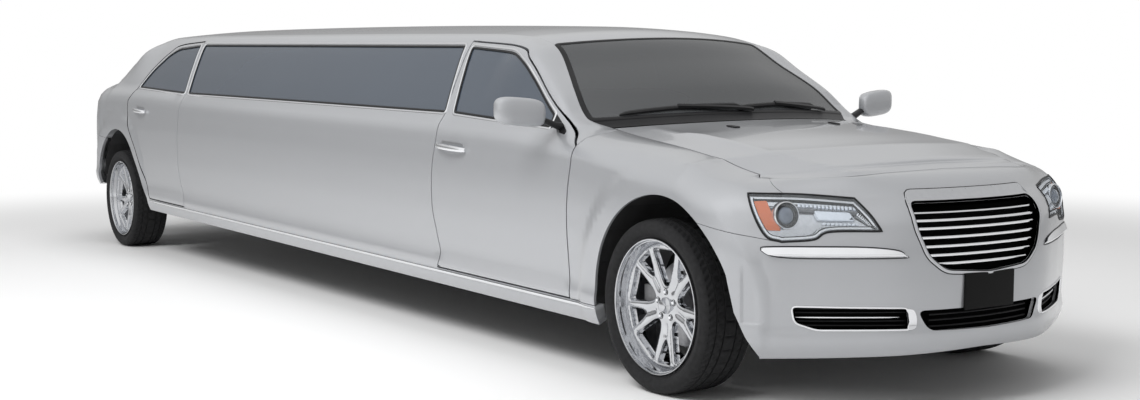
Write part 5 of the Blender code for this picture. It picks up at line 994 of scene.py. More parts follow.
for name, front, back, marks, crown, half, length, gap, wall, finish, body, creases in DECKS:
    PLACES[name] = place = patch(front, back, side_edge(*marks), crown, creases)
    a, b = 1.0 - gap / half, gap / length
    outline = [(-a, b), (a, b), (a, 1.0 - b), (-a, 1.0 - b)]
    shape = sheet(place, [outline], wall, cell=0.03 if name != "roof" else 0.06, step=0.025,
                  scale=(half, length))
    put("skin_" + name, shape, finish, body, [name])

deck = patch(DECK_LINE, deck_edge, side_edge(DECK_FRONT, LAMP_INNER), 0.010)


def lid(uv):
    uv = np.asarray(uv, float).reshape(-1, 2)
    a, b = uv[:, 0], uv[:, 1]
    s = -2.0 + (2.0 + LAMP_INNER) * np.abs(a)
    g = at(s)
    g = np.where(a < 0.0, g, 2.0 * TAIL_MIDDLE - g)
    z = mix(top_z(s), TAIL_SEAM, np.clip(b - 1.0, 0.0, 1.0))
    p0, n0 = deck(np.stack((a, np.minimum(b, 1.0)), axis=1))
    p1, n1 = flank(np.stack((g, z), axis=1))
    on = (b <= 1.0)[:, None]
    soft = ease((b - 0.97) / 0.06)[:, None]
    return np.where(on, p0, p1), unit(n0 * (1.0 - soft) + n1 * soft)


half, length = abs(float(top_line(LAMP_INNER)[0][1])), 0.6
a, b = 1.0 - 0.004 / half, 0.004 / length
outline = [(-a, b), (a, b), (a, 2.0 - 2.0 * b), (-a, 2.0 - 2.0 * b)]
shape = sheet(lid, [outline], 0.018, cell=0.02, step=0.025, scale=(half, length))
put("skin_lid", shape, "paint", "trunk_lid", ["trunk_lid"])

for side, a in (("right", -0.42), ("left", 0.42)):
    loop = [(a + 0.020 * s, 0.945 + 0.010 * t) for s, t in ((-1, -1), (1, -1), (1, 1), (-1, 1))]
    shape = sheet(PLACES["hood"], [rounded(loop, 0.006)], 0.008, cell=1.0, step=1.0, scale=(0.65, 1.1),
                  depth=-0.006, edge=0.002)
    put(f"washer_nozzle_{side}", shape, "trim", "hood")

# ---- Inner walls of the rear wheel houses ----

low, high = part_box("rear_wheelhouse_right")
house = (-0.5 * (low[0] + high[0]), high[2] - 0.5 * (high[0] - low[0]))


def trunk_side(uv):
    uv = np.asarray(uv, float).reshape(-1, 2)
    points = np.stack((-uv[:, 0], np.full(len(uv), high[1] + 0.008), uv[:, 1]), axis=1)
    return points, np.tile((0.0, 1.0, 0.0), (len(uv), 1))


loop = arc(house, 0.5 * (high[0] - low[0]) - 0.006, 7.0, 173.0, 40)
pair("wheelhouse_wall", sheet(trunk_side, [loop], 0.007, cell=0.06), "trim", "body", framed=False)

# ---- Glass on the sides ----

for name, loop, body, node in (("side_pane", rounded(SIDE_WINDOW, 0.02), "body", "side_glass_{side}"),
                               ("front_pane", front_pane, "front_door_{side}", "front_door_glass_{side}"),
                               ("rear_pane", rear_pane, "rear_door_{side}", "rear_door_glass_{side}")):
    pair(name, sheet(flank, [shifted(cleaned(loop), 0.0006)], 0.005, cell=0.06, depth=0.004, edge=0.0008),
         "side_pane", body, [node])

# ---- Front ----


def on(rows):
    return [(at(s), z) for s, z in rows]


def tiles(start, end, count, size, depth, wall):
    """A row of small blocks on the flank."""
    shapes = []
    for s, z in zip(spread(start[0], end[0], count), spread(start[1], end[1], count)):
        g = at(s)
        loop = [(g - size[0], z - size[1]), (g + size[0], z - size[1]), (g + size[0], z + size[1]),
                (g - size[0], z + size[1])]
        shapes.append(sheet(flank, [rounded(loop, 0.2 * size[1], 2)], wall, cell=1.0, step=1.0,
                            depth=depth, edge=0.0008))
    return joined(*shapes)


def aimed(shape, place, axis):
    """A shape turned about Y, moved to a place with its Y along an axis."""
    turn = Vector(axis).to_track_quat("Y", "Z").to_matrix().to_4x4()
    return moved(shape, Matrix.Translation(Vector(place)) @ turn)


pair("lamp_seal", strip(flank, lamp_loop, bar(0.0075, 0.003), closed=True, step=0.012), "trim", "body")
rim = [shifted(cleaned(lamp_loop), d) for d in (0.0045, 0.019, 0.0035)]
pair("lamp_bezel", sheet(flank, rim[:2], 0.036, cell=0.02, step=0.012, depth=0.007, edge=0.004), "chrome",
     "body", ["headlamp_{side}"])
pair("lamp_bowl", sheet(flank, [rim[2]], 0.004, **FINE, depth=0.046), "silver_bowl", "body")
amber = rounded(on(((0.283, 0.812), (0.329, 0.815), (0.372, 0.700), (0.328, 0.702))), 0.006, 3)
pair("lamp_amber", sheet(flank, [cleaned(amber)], 0.030, **FINE, depth=0.009, edge=0.003), "amber", "body")
mirror_bay = rounded(on(((0.463, 0.786), (0.565, 0.780), (0.580, 0.741), (0.474, 0.743))), 0.008, 3)
pair("lamp_bay", sheet(flank, [cleaned(mirror_bay)], 0.024, **FINE, depth=0.020, edge=0.006), "bulb", "body")
pair("lamp_leds_upper", tiles((0.424, 0.8015), (0.578, 0.7905), 15, (0.0055, 0.0065), 0.014, 0.028),
     "bulb", "body")
pair("lamp_leds_lower", tiles((0.490, 0.7280), (0.582, 0.7250), 9, (0.0055, 0.0050), 0.014, 0.028),
     "bulb", "body")
shelf = rounded(on(((0.410, 0.812), (0.594, 0.801), (0.600, 0.779), (0.424, 0.790))), 0.004, 3)
pair("lamp_shelf", sheet(flank, [cleaned(shelf)], 0.018, **FINE, depth=0.024, edge=0.003), "cast", "body")
p, n = flank([(at(0.388), 0.762)])
eye, gaze = p[0] - n[0] * 0.016, unit(n + (1.6, 0.0, 0.0))[0]
CUP = [(0.053, -0.026), (0.053, 0.002), (0.051, 0.006), (0.048, 0.006), (0.044, -0.004), (0.043, -0.026)]
pair("lamp_ring", aimed(lathe(CUP, 40), eye, gaze), "chrome", "body")
CUP = [(0.043, -0.024), (0.0425, -0.005), (0.037, 0.000), (0.034, -0.002), (0.034, -0.024)]
pair("lamp_cup", aimed(lathe(CUP, 40), eye, gaze), "gloss_black", "body")
DOME = [(0.034 * math.cos(t), -0.010 + 0.020 * math.sin(t)) for t in spread(0.0, 1.52, 8)]
DOME += [(0.001, -0.020), (0.034, -0.020)]
pair("lamp_dome", aimed(lathe(DOME, 32), eye, gaze), "dome", "body")
pair("lamp_lens", sheet(flank, [shifted(cleaned(lamp_loop), 0.002)], 0.003, **PANEL, depth=0.0005),
     "lens", "body")

moulding = on(((0.316, 0.630), (0.330, 0.641), (0.461, 0.642), (0.600, 0.640), (0.690, 0.628),
               (0.712, 0.608), (0.700, 0.601), (0.461, 0.600), (0.375, 0.604), (0.337, 0.613)))
moulding = curved(moulding + [moulding[0]], 5)[:-1]


def strip_height(uv):
    slope, ledge = np.clip((0.642 - uv[:, 1]) / 0.030, 0.0, 1.0), ease((0.614 - uv[:, 1]) / 0.014)
    return 0.003 + 0.010 * slope - 0.012 * ledge


pair("lamp_strip", sheet(raised(flank, strip_height), [cleaned(moulding)], 0.004, cell=0.006, step=0.010,
                         edge=0.003), "chrome", "body")
pair("lamp_strip_line", strip(flank, shifted(cleaned(moulding), -0.0015), bar(0.004, 0.0018), closed=True,
                              step=0.015), "trim", "body")

# Grille: a back and inner wall near black as painted shade, seven slats and a frame with a wide bare header
pieces = shifted(grille_loop, 0.001)
shape = sheet(flank, [pieces], 0.004, **COARSE, depth=0.062)
put("grille_back", shape, "painted_shade", "body", ["grille"])
shape = sheet(flank, [shifted(grille_loop, -0.001), shifted(grille_loop, 0.004)], 0.060, **COARSE,
              depth=0.004, edge=0.001)
put("grille_wall", shape, "painted_shade", "body")
outer = [(g, z + 0.030 * float(ease((z - 0.775) / 0.030))) for g, z in shifted(grille_loop, -0.013)]
shape = strip(flank, shifted(cleaned(outer), -0.0005), bar(0.005, 0.0022), closed=True, step=0.015)
put("grille_outline", shape, "trim", "body")
shape = sheet(flank, [outer, shifted(grille_loop, 0.003)], 0.014, **FINE, depth=-0.004, edge=0.004)
put("grille_frame", shape, "satin", "body")
BLADE = [(-0.0050, 0.0), (-0.0055, -0.006), (-0.0015, -0.030), (0.0015, -0.030), (0.0045, -0.006),
         (0.0040, 0.0), (0.0, 0.0022)]
shapes = []
for z, s in zip((0.770, 0.738, 0.705, 0.672, 0.638, 0.605, 0.572),
                (0.733, 0.736, 0.741, 0.751, 0.762, 0.776, 0.798)):
    start = at(s - 0.002)
    path = [(g, z) for g in spread(start, 2.0 * NOSE_MIDDLE - start, 60)]
    shapes.append(strip(flank, path, BLADE, depth=0.012, step=1.0))
shape = joined(*shapes)
put("grille_slats", shape, "chrome", "body")

# Lower openings, their backs and walls near black as painted shade, and the blank plate
shape = sheet(flank, [shifted(intake_loop, -0.002)], 0.004, **COARSE, depth=0.058)
put("intake_back", shape, "painted_shade", "body", ["lower_grille"])
shape = sheet(flank, [shifted(intake_loop, -0.003), shifted(intake_loop, 0.001)], 0.038, **COARSE,
              depth=0.020, edge=0.0006)
put("intake_wall", shape, "painted_shade", "body")
pair("fog_back", sheet(flank, [shifted(fog_loop, -0.002)], 0.004, **COARSE, depth=0.058), "painted_shade", "body")
pair("fog_wall", sheet(flank, [shifted(fog_loop, -0.003), shifted(fog_loop, 0.001)], 0.038, **COARSE,
                       depth=0.020, edge=0.0006), "painted_shade", "body")
pair("fog_lip", strip(flank, fog_loop, bar(0.007, 0.004), closed=True, step=0.012), "chrome", "body")
pair("fog_bar", strip(flank, on(((0.415, 0.3755), (0.705, 0.3745))), bar(0.008, 0.006), step=0.02,
                      depth=0.022, taper=3), "chrome", "body")
louvres = [strip(flank, [(at(mix(0.420, 0.400, t)) + 0.012, z), (at(0.728), z)], bar(0.007, 0.008),
                 step=0.03, depth=0.034)
           for t, z in ((0.0, 0.345), (0.4, 0.360), (0.7, 0.392), (1.0, 0.407))]
pair("fog_louvres", joined(*louvres), "trim", "body")
cheek = on(((0.716, 0.412), (0.742, 0.405), (0.752, 0.372), (0.748, 0.336), (0.724, 0.333), (0.730, 0.372)))
pair("fog_cheek", sheet(flank, [cleaned(curved(cheek + [cheek[0]], 4)[:-1])], 0.006, cell=0.012,
                        step=0.012, edge=0.003, depth=-0.004), "chrome", "body")
shapes = [strip(flank, [(g, z) for g in spread(at(0.80), 2.0 * NOSE_MIDDLE - at(0.80), 30)],
                bar(0.008, 0.008), step=1.0, depth=0.030)
          for z in (0.338, 0.358, 0.378)]
shape = joined(*shapes)
put("intake_bars", shape, "trim", "body")
shape = soft_box((0.8925, -0.1325, 0.392), (0.9035, 0.1325, 0.532), 0.004)
put("plate_front", shape, "plate", "body")

# ---- Wheels ----

TYRE_RADIUS, HALF_TRACK, SEGMENTS, GROOVE = 0.350, 0.805, 288, 0.0065
# Rows are (radius, half width); the tread's third column is the kind of cut across it, none for 0
SIDEWALL = ((0.2612, 0.0975), (0.2725, 0.0992), (0.2760, 0.1040), (0.2795, 0.1062), (0.2830, 0.1058),
            (0.2900, 0.1125), (0.3000, 0.1185), (0.3120, 0.1222), (0.3180, 0.1222), (0.3200, 0.1212),
            (0.3290, 0.1192), (0.3370, 0.1150), (0.3425, 0.1085), (0.3452, 0.1020))
TREAD = ((0.3465, 0.0960, 1), (0.3480, 0.0860, 1), (0.3490, 0.0760, 1), (0.3492, 0.0730, 0),
         (0.3427, 0.0722, 0), (0.3427, 0.0655, 0), (0.3494, 0.0647, 0), (0.3494, 0.0600, 2),
         (0.3497, 0.0480, 2), (0.3498, 0.0345, 2), (0.3498, 0.0330, 0), (0.3432, 0.0322, 0),
         (0.3432, 0.0255, 0), (0.3499, 0.0247, 0), (0.3500, 0.0180, 3), (0.3500, 0.0060, 3))


def tyre():
    half = [(r, w, 0) for r, w in SIDEWALL] + list(TREAD)
    rows = half + [(r, -w, k) for r, w, k in half[::-1]]
    count = len(rows)
    radius, place = np.array([r[0] for r in rows]), np.array([r[1] for r in rows])
    kind = np.array([r[2] for r in rows])
    i = np.arange(SEGMENTS)[:, None]
    slant = np.round(np.abs(place) * 90.0)[None, :]
    shoulder, block, centre = (kind == 1), (kind == 2), (kind == 3)
    cut = (shoulder & ((i + slant) % 4 == 0)) | (block & ((i - 2 * slant) % 6 == 0))
    cut = cut | (centre & ((i + 3) % 8 == 0))
    r = radius[None, :] - np.where(cut, GROOVE, 0.0)
    t = 2.0 * math.pi * i / SEGMENTS
    verts = np.stack((r * np.cos(t), np.broadcast_to(-place[None, :], r.shape), r * np.sin(t)),
                     2).reshape(-1, 3)
    a = (np.arange(SEGMENTS)[:, None] * count + np.arange(count)[None, :]).ravel()
    b = (np.arange(SEGMENTS)[:, None] * count + (np.arange(count)[None, :] + 1) % count).ravel()
    size = SEGMENTS * count
    return verts, list(zip(a, b, (b + count) % size, (a + count) % size)), None


def ring_of(rows, segments=96):
    return lathe([(r, -w) for r, w in rows], segments)


def disc_loop(radius, steps):
    return arc((0.0, 0.0), radius, -90.0, 270.0, steps)[:-1]


def wedge(rows, turn):
    sides = [[(r * math.cos(math.radians(turn + way * half)),
               r * math.sin(math.radians(turn + way * half))) for r, half in rows]
             for way in (-1.0, 1.0)]
    return cleaned(sides[0] + sides[1][::-1])


# Spokes are what these openings leave; rows are (radius, half angle in degrees)
SPOKES = 5
PITCH = 360.0 / SPOKES
OPENING = ((0.080, 7.0), (0.105, 14.5), (0.165, 17.5), (0.236, 18.5))
FORK = ((0.140, 2.0), (0.165, 6.5), (0.236, 10.5))
OPENINGS = [rounded(wedge(OPENING, (n + 0.5) * PITCH - 90.0), 0.016, 6) for n in range(SPOKES)]
FORKS = [rounded(wedge(FORK, n * PITCH - 90.0), 0.010, 5) for n in range(SPOKES)]
FACE = [disc_loop(0.2512, 96)] + OPENINGS + FORKS


def wheel_face(uv):
    uv = np.asarray(uv, float).reshape(-1, 2)
    share = np.minimum(np.hypot(uv[:, 0], uv[:, 1]) / 0.251, 1.0)
    out = mix(0.040, 0.058, share ** 2)
    return np.stack((uv[:, 0], -out, uv[:, 1]), 1), np.tile((0.0, -1.0, 0.0), (len(uv), 1))


def swell(uv):
    uv = np.asarray(uv, float)
    reach = np.full(len(uv), 1.0)
    for loop in FACE[1:]:
        reach = np.minimum(reach, to_edge(uv, loop))
    r, turn = np.hypot(uv[:, 0], uv[:, 1]), np.degrees(np.arctan2(uv[:, 1], uv[:, 0])) + 90.0
    off = np.abs((turn + 36.0) % 72.0 - 36.0)
    round_edge = 0.011 * np.sqrt(np.clip(1.0 - (1.0 - np.clip(reach / 0.011, 0.0, 1.0)) ** 2, 0.0, 1.0))
    channel = 0.006 * np.exp(-(r * np.radians(off) / 0.010) ** 2)
    channel = channel * ease((r - 0.055) / 0.03) * ease((0.150 - r) / 0.03)
    return round_edge * ease((0.2512 - r) / 0.012) - channel


verts, faces, _ = sheet(wheel_face, FACE, 0.022, cell=0.0065, step=0.008, edge=0.002, lift=swell)
face = (verts, faces, None)
BARREL = ((0.2500, -0.1125), (0.2712, -0.1125), (0.2712, -0.0990), (0.2597, -0.0990), (0.2597, 0.0975),
          (0.2712, 0.0985), (0.2717, 0.1085),
          (0.2704, 0.1128), (0.2680, 0.1140), (0.2652, 0.1132), (0.2636, 0.1100), (0.2628, 0.1020),
          (0.2600, 0.0900), (0.2540, 0.0760),
          (0.2514, 0.0640), (0.2500, 0.0400))
CAP = ((0.0006, 0.0775), (0.0170, 0.0770), (0.0215, 0.0750), (0.0235, 0.0710), (0.0260, 0.0620),
       (0.0330, 0.0560), (0.0345, 0.0480),
       (0.0350, 0.0300), (0.0006, 0.0300))
DISC = ((0.0600, -0.0595), (0.1715, -0.0595), (0.1720, -0.0540), (0.1660, -0.0530), (0.1660, -0.0410),
        (0.1720, -0.0400), (0.1715, -0.0345), (0.1000, -0.0345), (0.0960, -0.0300), (0.0600, -0.0300))
HUB = ((0.0006, -0.0640), (0.0610, -0.0640), (0.0610, 0.0200), (0.0550, 0.0250), (0.0006, 0.0250))
NUT = ((0.0006, 0.0600), (0.0060, 0.0600), (0.0085, 0.0570), (0.0088, 0.0460), (0.0006, 0.0460))
WELL = ((0.0125, 0.0470), (0.0135, 0.0530), (0.0115, 0.0540), (0.0100, 0.0480))


def around(shape, radius, first):
    out = []
    for n in range(SPOKES):
        t = math.radians(first + PITCH * n)
        out.append((np.array(shape[0]) + (radius * math.cos(t), 0.0, radius * math.sin(t)), shape[1], None))
    return joined(*out)


# The barrel, spokes and cap take the chrome darkened as painted shade
WHEEL_PIECES = (
    ("tyre", tyre(), "tread", "tyre_{end}_{side}"),
    ("barrel", ring_of(BARREL, 120), "shaded_rim_chrome", "rim_{end}_{side}"),
    ("spokes", face, "shaded_rim_chrome", ""),
    ("cap", ring_of(CAP, 40), "shaded_rim_chrome", ""),
    ("disc", ring_of(DISC, 64), "disc", ""),
    ("hub", ring_of(HUB, 32), "cast", ""),
    ("nuts", around(ring_of(NUT, 6), 0.055, -54.0), "chrome", ""),
    ("wells", around(ring_of(WELL, 20), 0.055, -54.0), "gloss_black", ""),
)
for end, x in (("front", AXLE_X), ("rear", AXLE_X - WHEELBASE)):
    for name, shape, finish, node in WHEEL_PIECES:
        form = (np.array(shape[0]) + (x, -HALF_TRACK, TYRE_RADIUS), shape[1], None)
        pair(f"{name}_{end}", form, finish, f"wheel_{end}_{{side}}",
             [node.replace("{end}", end)] if node else (), framed=False)

# ---- Chrome lines, seals, handles, mirrors and wipers ----

PANES = (("side", rounded(SIDE_WINDOW, 0.02), "body"), ("front", front_pane, "front_door_{side}"),
         ("rear", rear_pane, "rear_door_{side}"))
for name, loop, body in PANES:
    loop = cleaned(loop)
    pair(f"{name}_window_chrome", strip(flank, shifted(loop, -0.0085), bar(0.013, 0.0045), closed=True,
                                        step=0.025), "chrome", body)
    pair(f"{name}_window_seal", strip(flank, shifted(loop, 0.0035), bar(0.012, 0.0012), closed=True,
                                      step=0.025), "trim", body)
sill = [(x, 0.2955) for x in spread(front_arch(190.0, 190.0, 1)[0][0] - 0.004, rear_foot[0][0] + 0.030, 80)]
pair("sill_chrome", strip(flank, sill, bar(0.018, 0.006), step=1.0, taper=3), "chrome", "body")
for name, a, b, z, body in (("front", -1.487, -1.756, 0.890, "front_door_{side}"),
                            ("rear", -6.012, -6.228, 0.910, "rear_door_{side}")):
    t = np.linspace(0.0, 1.0, 25)
    p, n = flank([(mix(a, b, k), z + 0.010 * k) for k in t])
    lift = 0.006 + 0.030 * np.sin(np.pi * t) ** 0.45
    grip = [(0.0115 * math.cos(k), 0.0065 * math.sin(k)) for k in spread(0.0, 2.0 * math.pi, 13)[:-1]]
    pair(f"{name}_handle", sweep(p + n * lift[:, None], n, grip,
                                 sizes=0.75 + 0.45 * np.sin(np.pi * t) ** 0.4), "chrome", body)
    cup = rounded([(mix(a, b, 0.10), z - 0.014), (mix(a, b, 0.10), z + 0.030),
                   (mix(a, b, 0.90), z + 0.036), (mix(a, b, 0.90), z - 0.008)], 0.02, 6)
    pair(f"{name}_handle_cup", sheet(flank, [cleaned(cup)], 0.0015, cell=0.01, step=0.01, depth=-0.0008,
                                     edge=0.0006), "satin", body)
for name in ("windshield", "rear_window"):
    loop = rounded([(-0.990, 0.012), (0.990, 0.012), (0.990, 0.988), (-0.990, 0.988)], 0.03, 4)
    shape = strip(PLACES[name], loop, bar(0.026, 0.004), closed=True, step=0.03, scale=(0.62, 0.60))
    put(f"{name}_seal", shape, "trim", "body")


def rounded_block(centre, half, power=0.35, segments=28, rings=16):
    """A crowned closed form between an ellipsoid and a box."""
    curve = lambda v: np.sign(v) * np.abs(v) ** power
    verts, faces = [], []
    for i in range(1, rings):
        t = math.pi * i / rings
        for j in range(segments):
            k = 2.0 * math.pi * j / segments
            verts.append((curve(math.sin(t)) * curve(math.cos(k)),
                          curve(math.sin(t)) * curve(math.sin(k)), curve(math.cos(t))))
    for i in range(rings - 2):
        for j in range(segments):
            a, b = i * segments + j, i * segments + (j + 1) % segments
            faces.append((a, a + segments, b + segments, b))
    top, foot = len(verts), len(verts) + 1
    verts += [(0.0, 0.0, 1.0), (0.0, 0.0, -1.0)]
    last = (rings - 2) * segments
    for j in range(segments):
        faces += [(top, j, (j + 1) % segments), (foot, last + (j + 1) % segments, last + j)]
    return np.array(verts) * half + centre, faces, None


head = rounded_block((-0.822, -1.038, 1.096), (0.037, 0.112, 0.062), 0.55)
v = head[0]
v[:, 0] += 0.020 * ((v[:, 1] + 1.038) / 0.112) * 0.9
v[:, 2] += 0.010 * ((v[:, 1] + 1.038) / -0.112)
pair("mirror_head", head, "paint", "front_door_{side}", ["mirror_{side}"])
glass = rounded_block((-0.853, -1.040, 1.097), (0.006, 0.095, 0.050), 0.45)
glass[0][:, 0] += 0.020 * ((glass[0][:, 1] + 1.038) / 0.112) * 0.9
pair("mirror_glass", glass, "chrome", "front_door_{side}")
p, n = flank([(-0.800, 1.030)])
arm = sweep([p[0], p[0] + (0.0, -0.030, 0.006), (-0.812, -0.935, 1.062), (-0.818, -0.975, 1.070)],
            [(0.0, 0.0, 1.0)] * 4,
            [(0.026 * math.cos(k), 0.016 * math.sin(k)) for k in spread(0.0, 2.0 * math.pi, 15)[:-1]],
            sizes=(1.15, 0.95, 0.85, 0.8))
pair("mirror_arm", arm, "trim", "front_door_{side}")
foot_loop = rounded([(-0.866, 1.016), (-0.745, 0.996), (-0.745, 1.010), (-0.866, 1.086)], 0.008, 4)
pair("mirror_foot", sheet(flank, [cleaned(foot_loop)], 0.004, cell=0.02, step=0.015, depth=-0.003,
                          edge=0.002), "trim", "front_door_{side}")

screen = PLACES["windshield"]
for n, (a0, a1) in enumerate(((-0.83, -0.04), (-0.10, 0.66))):
    path = [(mix(a0, a1, t), 0.050 + 0.030 * t + 0.020 * math.sin(math.pi * t)) for t in spread(0.0, 1.0, 30)]
    shape = strip(screen, path, [(0.006, 0.000), (0.009, 0.012), (0.004, 0.018), (-0.004, 0.018),
                                 (-0.009, 0.012), (-0.006, 0.000)],
                  step=1.0, taper=2)
    put(f"wiper_blade_{n + 1}", shape, "rubber", "body")
    start, end = (mix(a0, a1, 0.98) + 0.06, 0.004), (mix(a0, a1, 0.45), 0.085)
    path = [(mix(start[0], end[0], t), mix(start[1], end[1], t ** 0.7)) for t in spread(0.0, 1.0, 20)]
    shape = strip(screen, path, [(0.011, 0.012), (0.008, 0.022), (-0.008, 0.022), (-0.011, 0.012)], step=1.0)
    put(f"wiper_arm_{n + 1}", shape, "trim", "body")

# ---- Tail ----

corner = [(at(s), TAIL_SEAM) for s in spread(LAMP_SEAM, LAMP_INNER, 12)]
corner = cleaned(corner + top_edge(LAMP_INNER, LAMP_SEAM, 40))
glow = [(at(s), z) for s, z in ((-1.352, 0.752), (-1.535, 0.752), (-1.530, 0.900), (-1.500, 1.015),
                                (-1.372, 1.015), (-1.352, 0.900))]
glow = rounded(cleaned(glow), 0.030, 6)
pair("skin_tail_corner", sheet(flank, [shifted(corner, 0.0012), glow], 0.018, **FINE), "paint", "body",
     ["taillamp_{side}"])
pair("tail_lamp", sheet(flank, [shifted(glow, 0.0015)], 0.016, cell=0.012, step=0.012, depth=-0.001,
                        edge=0.004, lift=lambda uv: 0.004 * ease(to_edge(uv, glow) / 0.030)), "red", "body")
pair("tail_lamp_rim", strip(flank, glow, bar(0.011, 0.004), closed=True, step=0.012), "chrome", "body")
white = rounded(on(((-1.395, 0.775), (-1.500, 0.775), (-1.500, 0.815), (-1.395, 0.815))), 0.012, 4)
pair("tail_lamp_white", sheet(flank, [cleaned(white)], 0.003, cell=0.012, step=0.012, depth=-0.0058,
                              edge=0.0015), "bulb", "body")
span = at(-1.600)
path = [(g, 0.800) for g in spread(span, 2.0 * TAIL_MIDDLE - span, 60)]
shape = strip(flank, path, bar(0.018, 0.007), step=1.0, taper=4)
put("lid_chrome", shape, "chrome", "trunk_lid")
span = at(-1.250)
path = [(g, 0.520) for g in spread(span, 2.0 * TAIL_MIDDLE - span, 80)]
shape = strip(flank, path, bar(0.014, 0.005), step=1.0, taper=4)
put("bumper_line_rear", shape, "chrome", "body")
loop = rounded(cleaned(on(((-1.42, 0.400), (-1.56, 0.400), (-1.56, 0.424), (-1.42, 0.424)))), 0.008, 4)
pair("reflector_rear", sheet(flank, [loop], 0.004, **FINE, depth=-0.003, edge=0.0015), "red", "body")
shape = soft_box((-7.7316, -0.150, 0.430), (-7.7200, 0.150, 0.590), 0.004)
put("plate_rear", shape, "plate", "body")

# ---- Inside ----


def cushion(name, low, high, hides=(), power=0.30, lean=0.0):
    """A crowned seat pad between two corners, leaning back by an angle about its lower edge."""
    low, high = np.array(low), np.array(high)
    verts, faces, _ = rounded_block((0.0, 0.0, 0.0), 0.5 * (high - low), power)
    half = 0.5 * (high - low)
    u = verts / half
    thin = int(np.argmin(half))
    rest = [k for k in range(3) if k != thin]
    crown = (1.0 - u[:, rest[0]] ** 2) * (1.0 - u[:, rest[1]] ** 2)
    verts[:, thin] *= 0.90 + 0.10 * crown
    for k in rest:
        other = [j for j in rest if j != k][0]
        verts[:, k] *= 1.0 - 0.020 * (1.0 - u[:, other] ** 2)
    welt = np.abs(np.abs(u[:, thin]) - 0.80) < 0.12
    verts[welt] *= 1.004
    verts += 0.5 * (low + high)
    if lean:
        pivot = np.array((high[0], 0.0, low[2]))
        turn = np.array(Matrix.Rotation(-lean, 3, "Y"))
        verts = (verts - pivot) @ turn.T + pivot
    made = make(name, verts, faces, "leather", "body", None, hides, smooth=60.0)
    return made


for side, y0, y1 in (("right", -0.660, -0.140), ("left", 0.140, 0.660)):
    cushion(f"seat_front_{side}", (-1.795, y0, 0.330), (-1.305, y1, 0.515),
            ["front_seats"] if side == "right" else ())
    cushion(f"back_front_{side}", (-1.860, y0 + 0.01, 0.430), (-1.740, y1 - 0.01, 0.980), lean=-0.262)
    cushion(f"head_front_{side}", (-1.965, y0 + 0.13, 0.985), (-1.875, y1 - 0.13, 1.130), power=0.45)
shape = joined(soft_box((-1.790, -0.640, 0.271), (-1.340, -0.160, 0.345), 0.01),
               soft_box((-1.790, 0.160, 0.271), (-1.340, 0.640, 0.345), 0.01),
               soft_box((-1.795, -0.130, 0.271), (-1.325, 0.130, 0.478), 0.02))
put("seat_bases", shape, "trim", "body")
for n, (y0, y1) in enumerate(((-0.735, -0.250), (-0.245, 0.245), (0.250, 0.735))):
    cushion(f"seat_rear_{n + 1}", (-5.725, y0, 0.420), (-5.190, y1, 0.592), ["rear_seat"] if n == 0 else ())
    cushion(f"back_rear_{n + 1}", (-5.790, y0, 0.520), (-5.640, y1, 1.140), lean=-0.330)
for n, (x0, x1) in enumerate(zip(spread(-5.160, -2.505, 6), spread(-5.160, -2.505, 6)[1:])):
    cushion(f"bench_pad_{n + 1}", (x0 + 0.003, -0.640, 0.440), (x1 - 0.003, -0.302, 0.597))
    cushion(f"bench_back_{n + 1}", (x0 + 0.003, -0.778, 0.600), (x1 - 0.003, -0.650, 1.015))
shape = joined(soft_box((-5.150, -0.775, 0.271), (-2.505, -0.320, 0.440), 0.01),
               soft_box((-5.720, -0.730, 0.271), (-5.230, 0.730, 0.425), 0.01))
put("bench_base", shape, "trim", "body")
shape = soft_box((-5.720, -0.770, 0.2706), (-0.900, 0.770, 0.2756), 0.002)
put("carpet", shape, "carpet", "body")
LININGS = (("front", [(-0.720, 0.370), (-0.720, 0.930), (-0.860, 0.990), (-1.740, 1.010),
                      (-1.720, 0.370)], (-0.900, -1.600, 0.760)),
           ("rear", [(-5.420, 0.420), (-5.410, 1.000), (-6.220, 0.990), (-6.080, 0.720), (-5.900, 0.420)],
            (-5.500, -6.020, 0.790)))
for name, loop, (x0, x1, z) in LININGS:
    body = f"{name}_door_{{side}}"
    pair(f"{name}_lining", sheet(flank, [cleaned(rounded(loop, 0.04))], 0.018, cell=0.06, step=0.04,
                                 depth=0.0215, edge=0.004), "leather", body)
    rest = rounded([(x0, z - 0.030), (x0, z + 0.012), (x1, z + 0.012), (x1, z - 0.030)], 0.018, 5)
    pair(f"{name}_door_pull", sheet(flank, [cleaned(rest)], 0.008, cell=0.04, step=0.03, depth=0.0380,
                                    edge=0.004), "trim", body)

# ---- Camera, floor and light ----

scene = bpy.context.scene
camera = bpy.data.objects.new("camera", bpy.data.cameras.new("camera"))
scene.collection.objects.link(camera)
scene.camera = camera
yaw, pitch, roll = 2.563, -0.083, -0.0058
forward = Vector((math.cos(yaw) * math.cos(pitch), math.sin(yaw) * math.cos(pitch), math.sin(pitch)))
right = Vector((math.sin(yaw), -math.cos(yaw), 0.0))
up = right.cross(forward)
r2 = right * math.cos(roll) + up * math.sin(roll)
u2 = -right * math.sin(roll) + up * math.cos(roll)
turn = Matrix((r2, u2, -forward)).transposed()
camera.matrix_world = Matrix.Translation((5.206 + AXLE_X, -4.710, 1.312)) @ turn.to_4x4()
SENSOR_WIDTH, FOCAL_PIXELS, PHOTO_PIXELS = 36.0, 1638.8, 1140.0
camera.data.sensor_width = SENSOR_WIDTH
camera.data.sensor_fit = "HORIZONTAL"
camera.data.lens = SENSOR_WIDTH * FOCAL_PIXELS / PHOTO_PIXELS
camera.data.clip_end = 200.0
scene.view_settings.view_transform = "Standard"

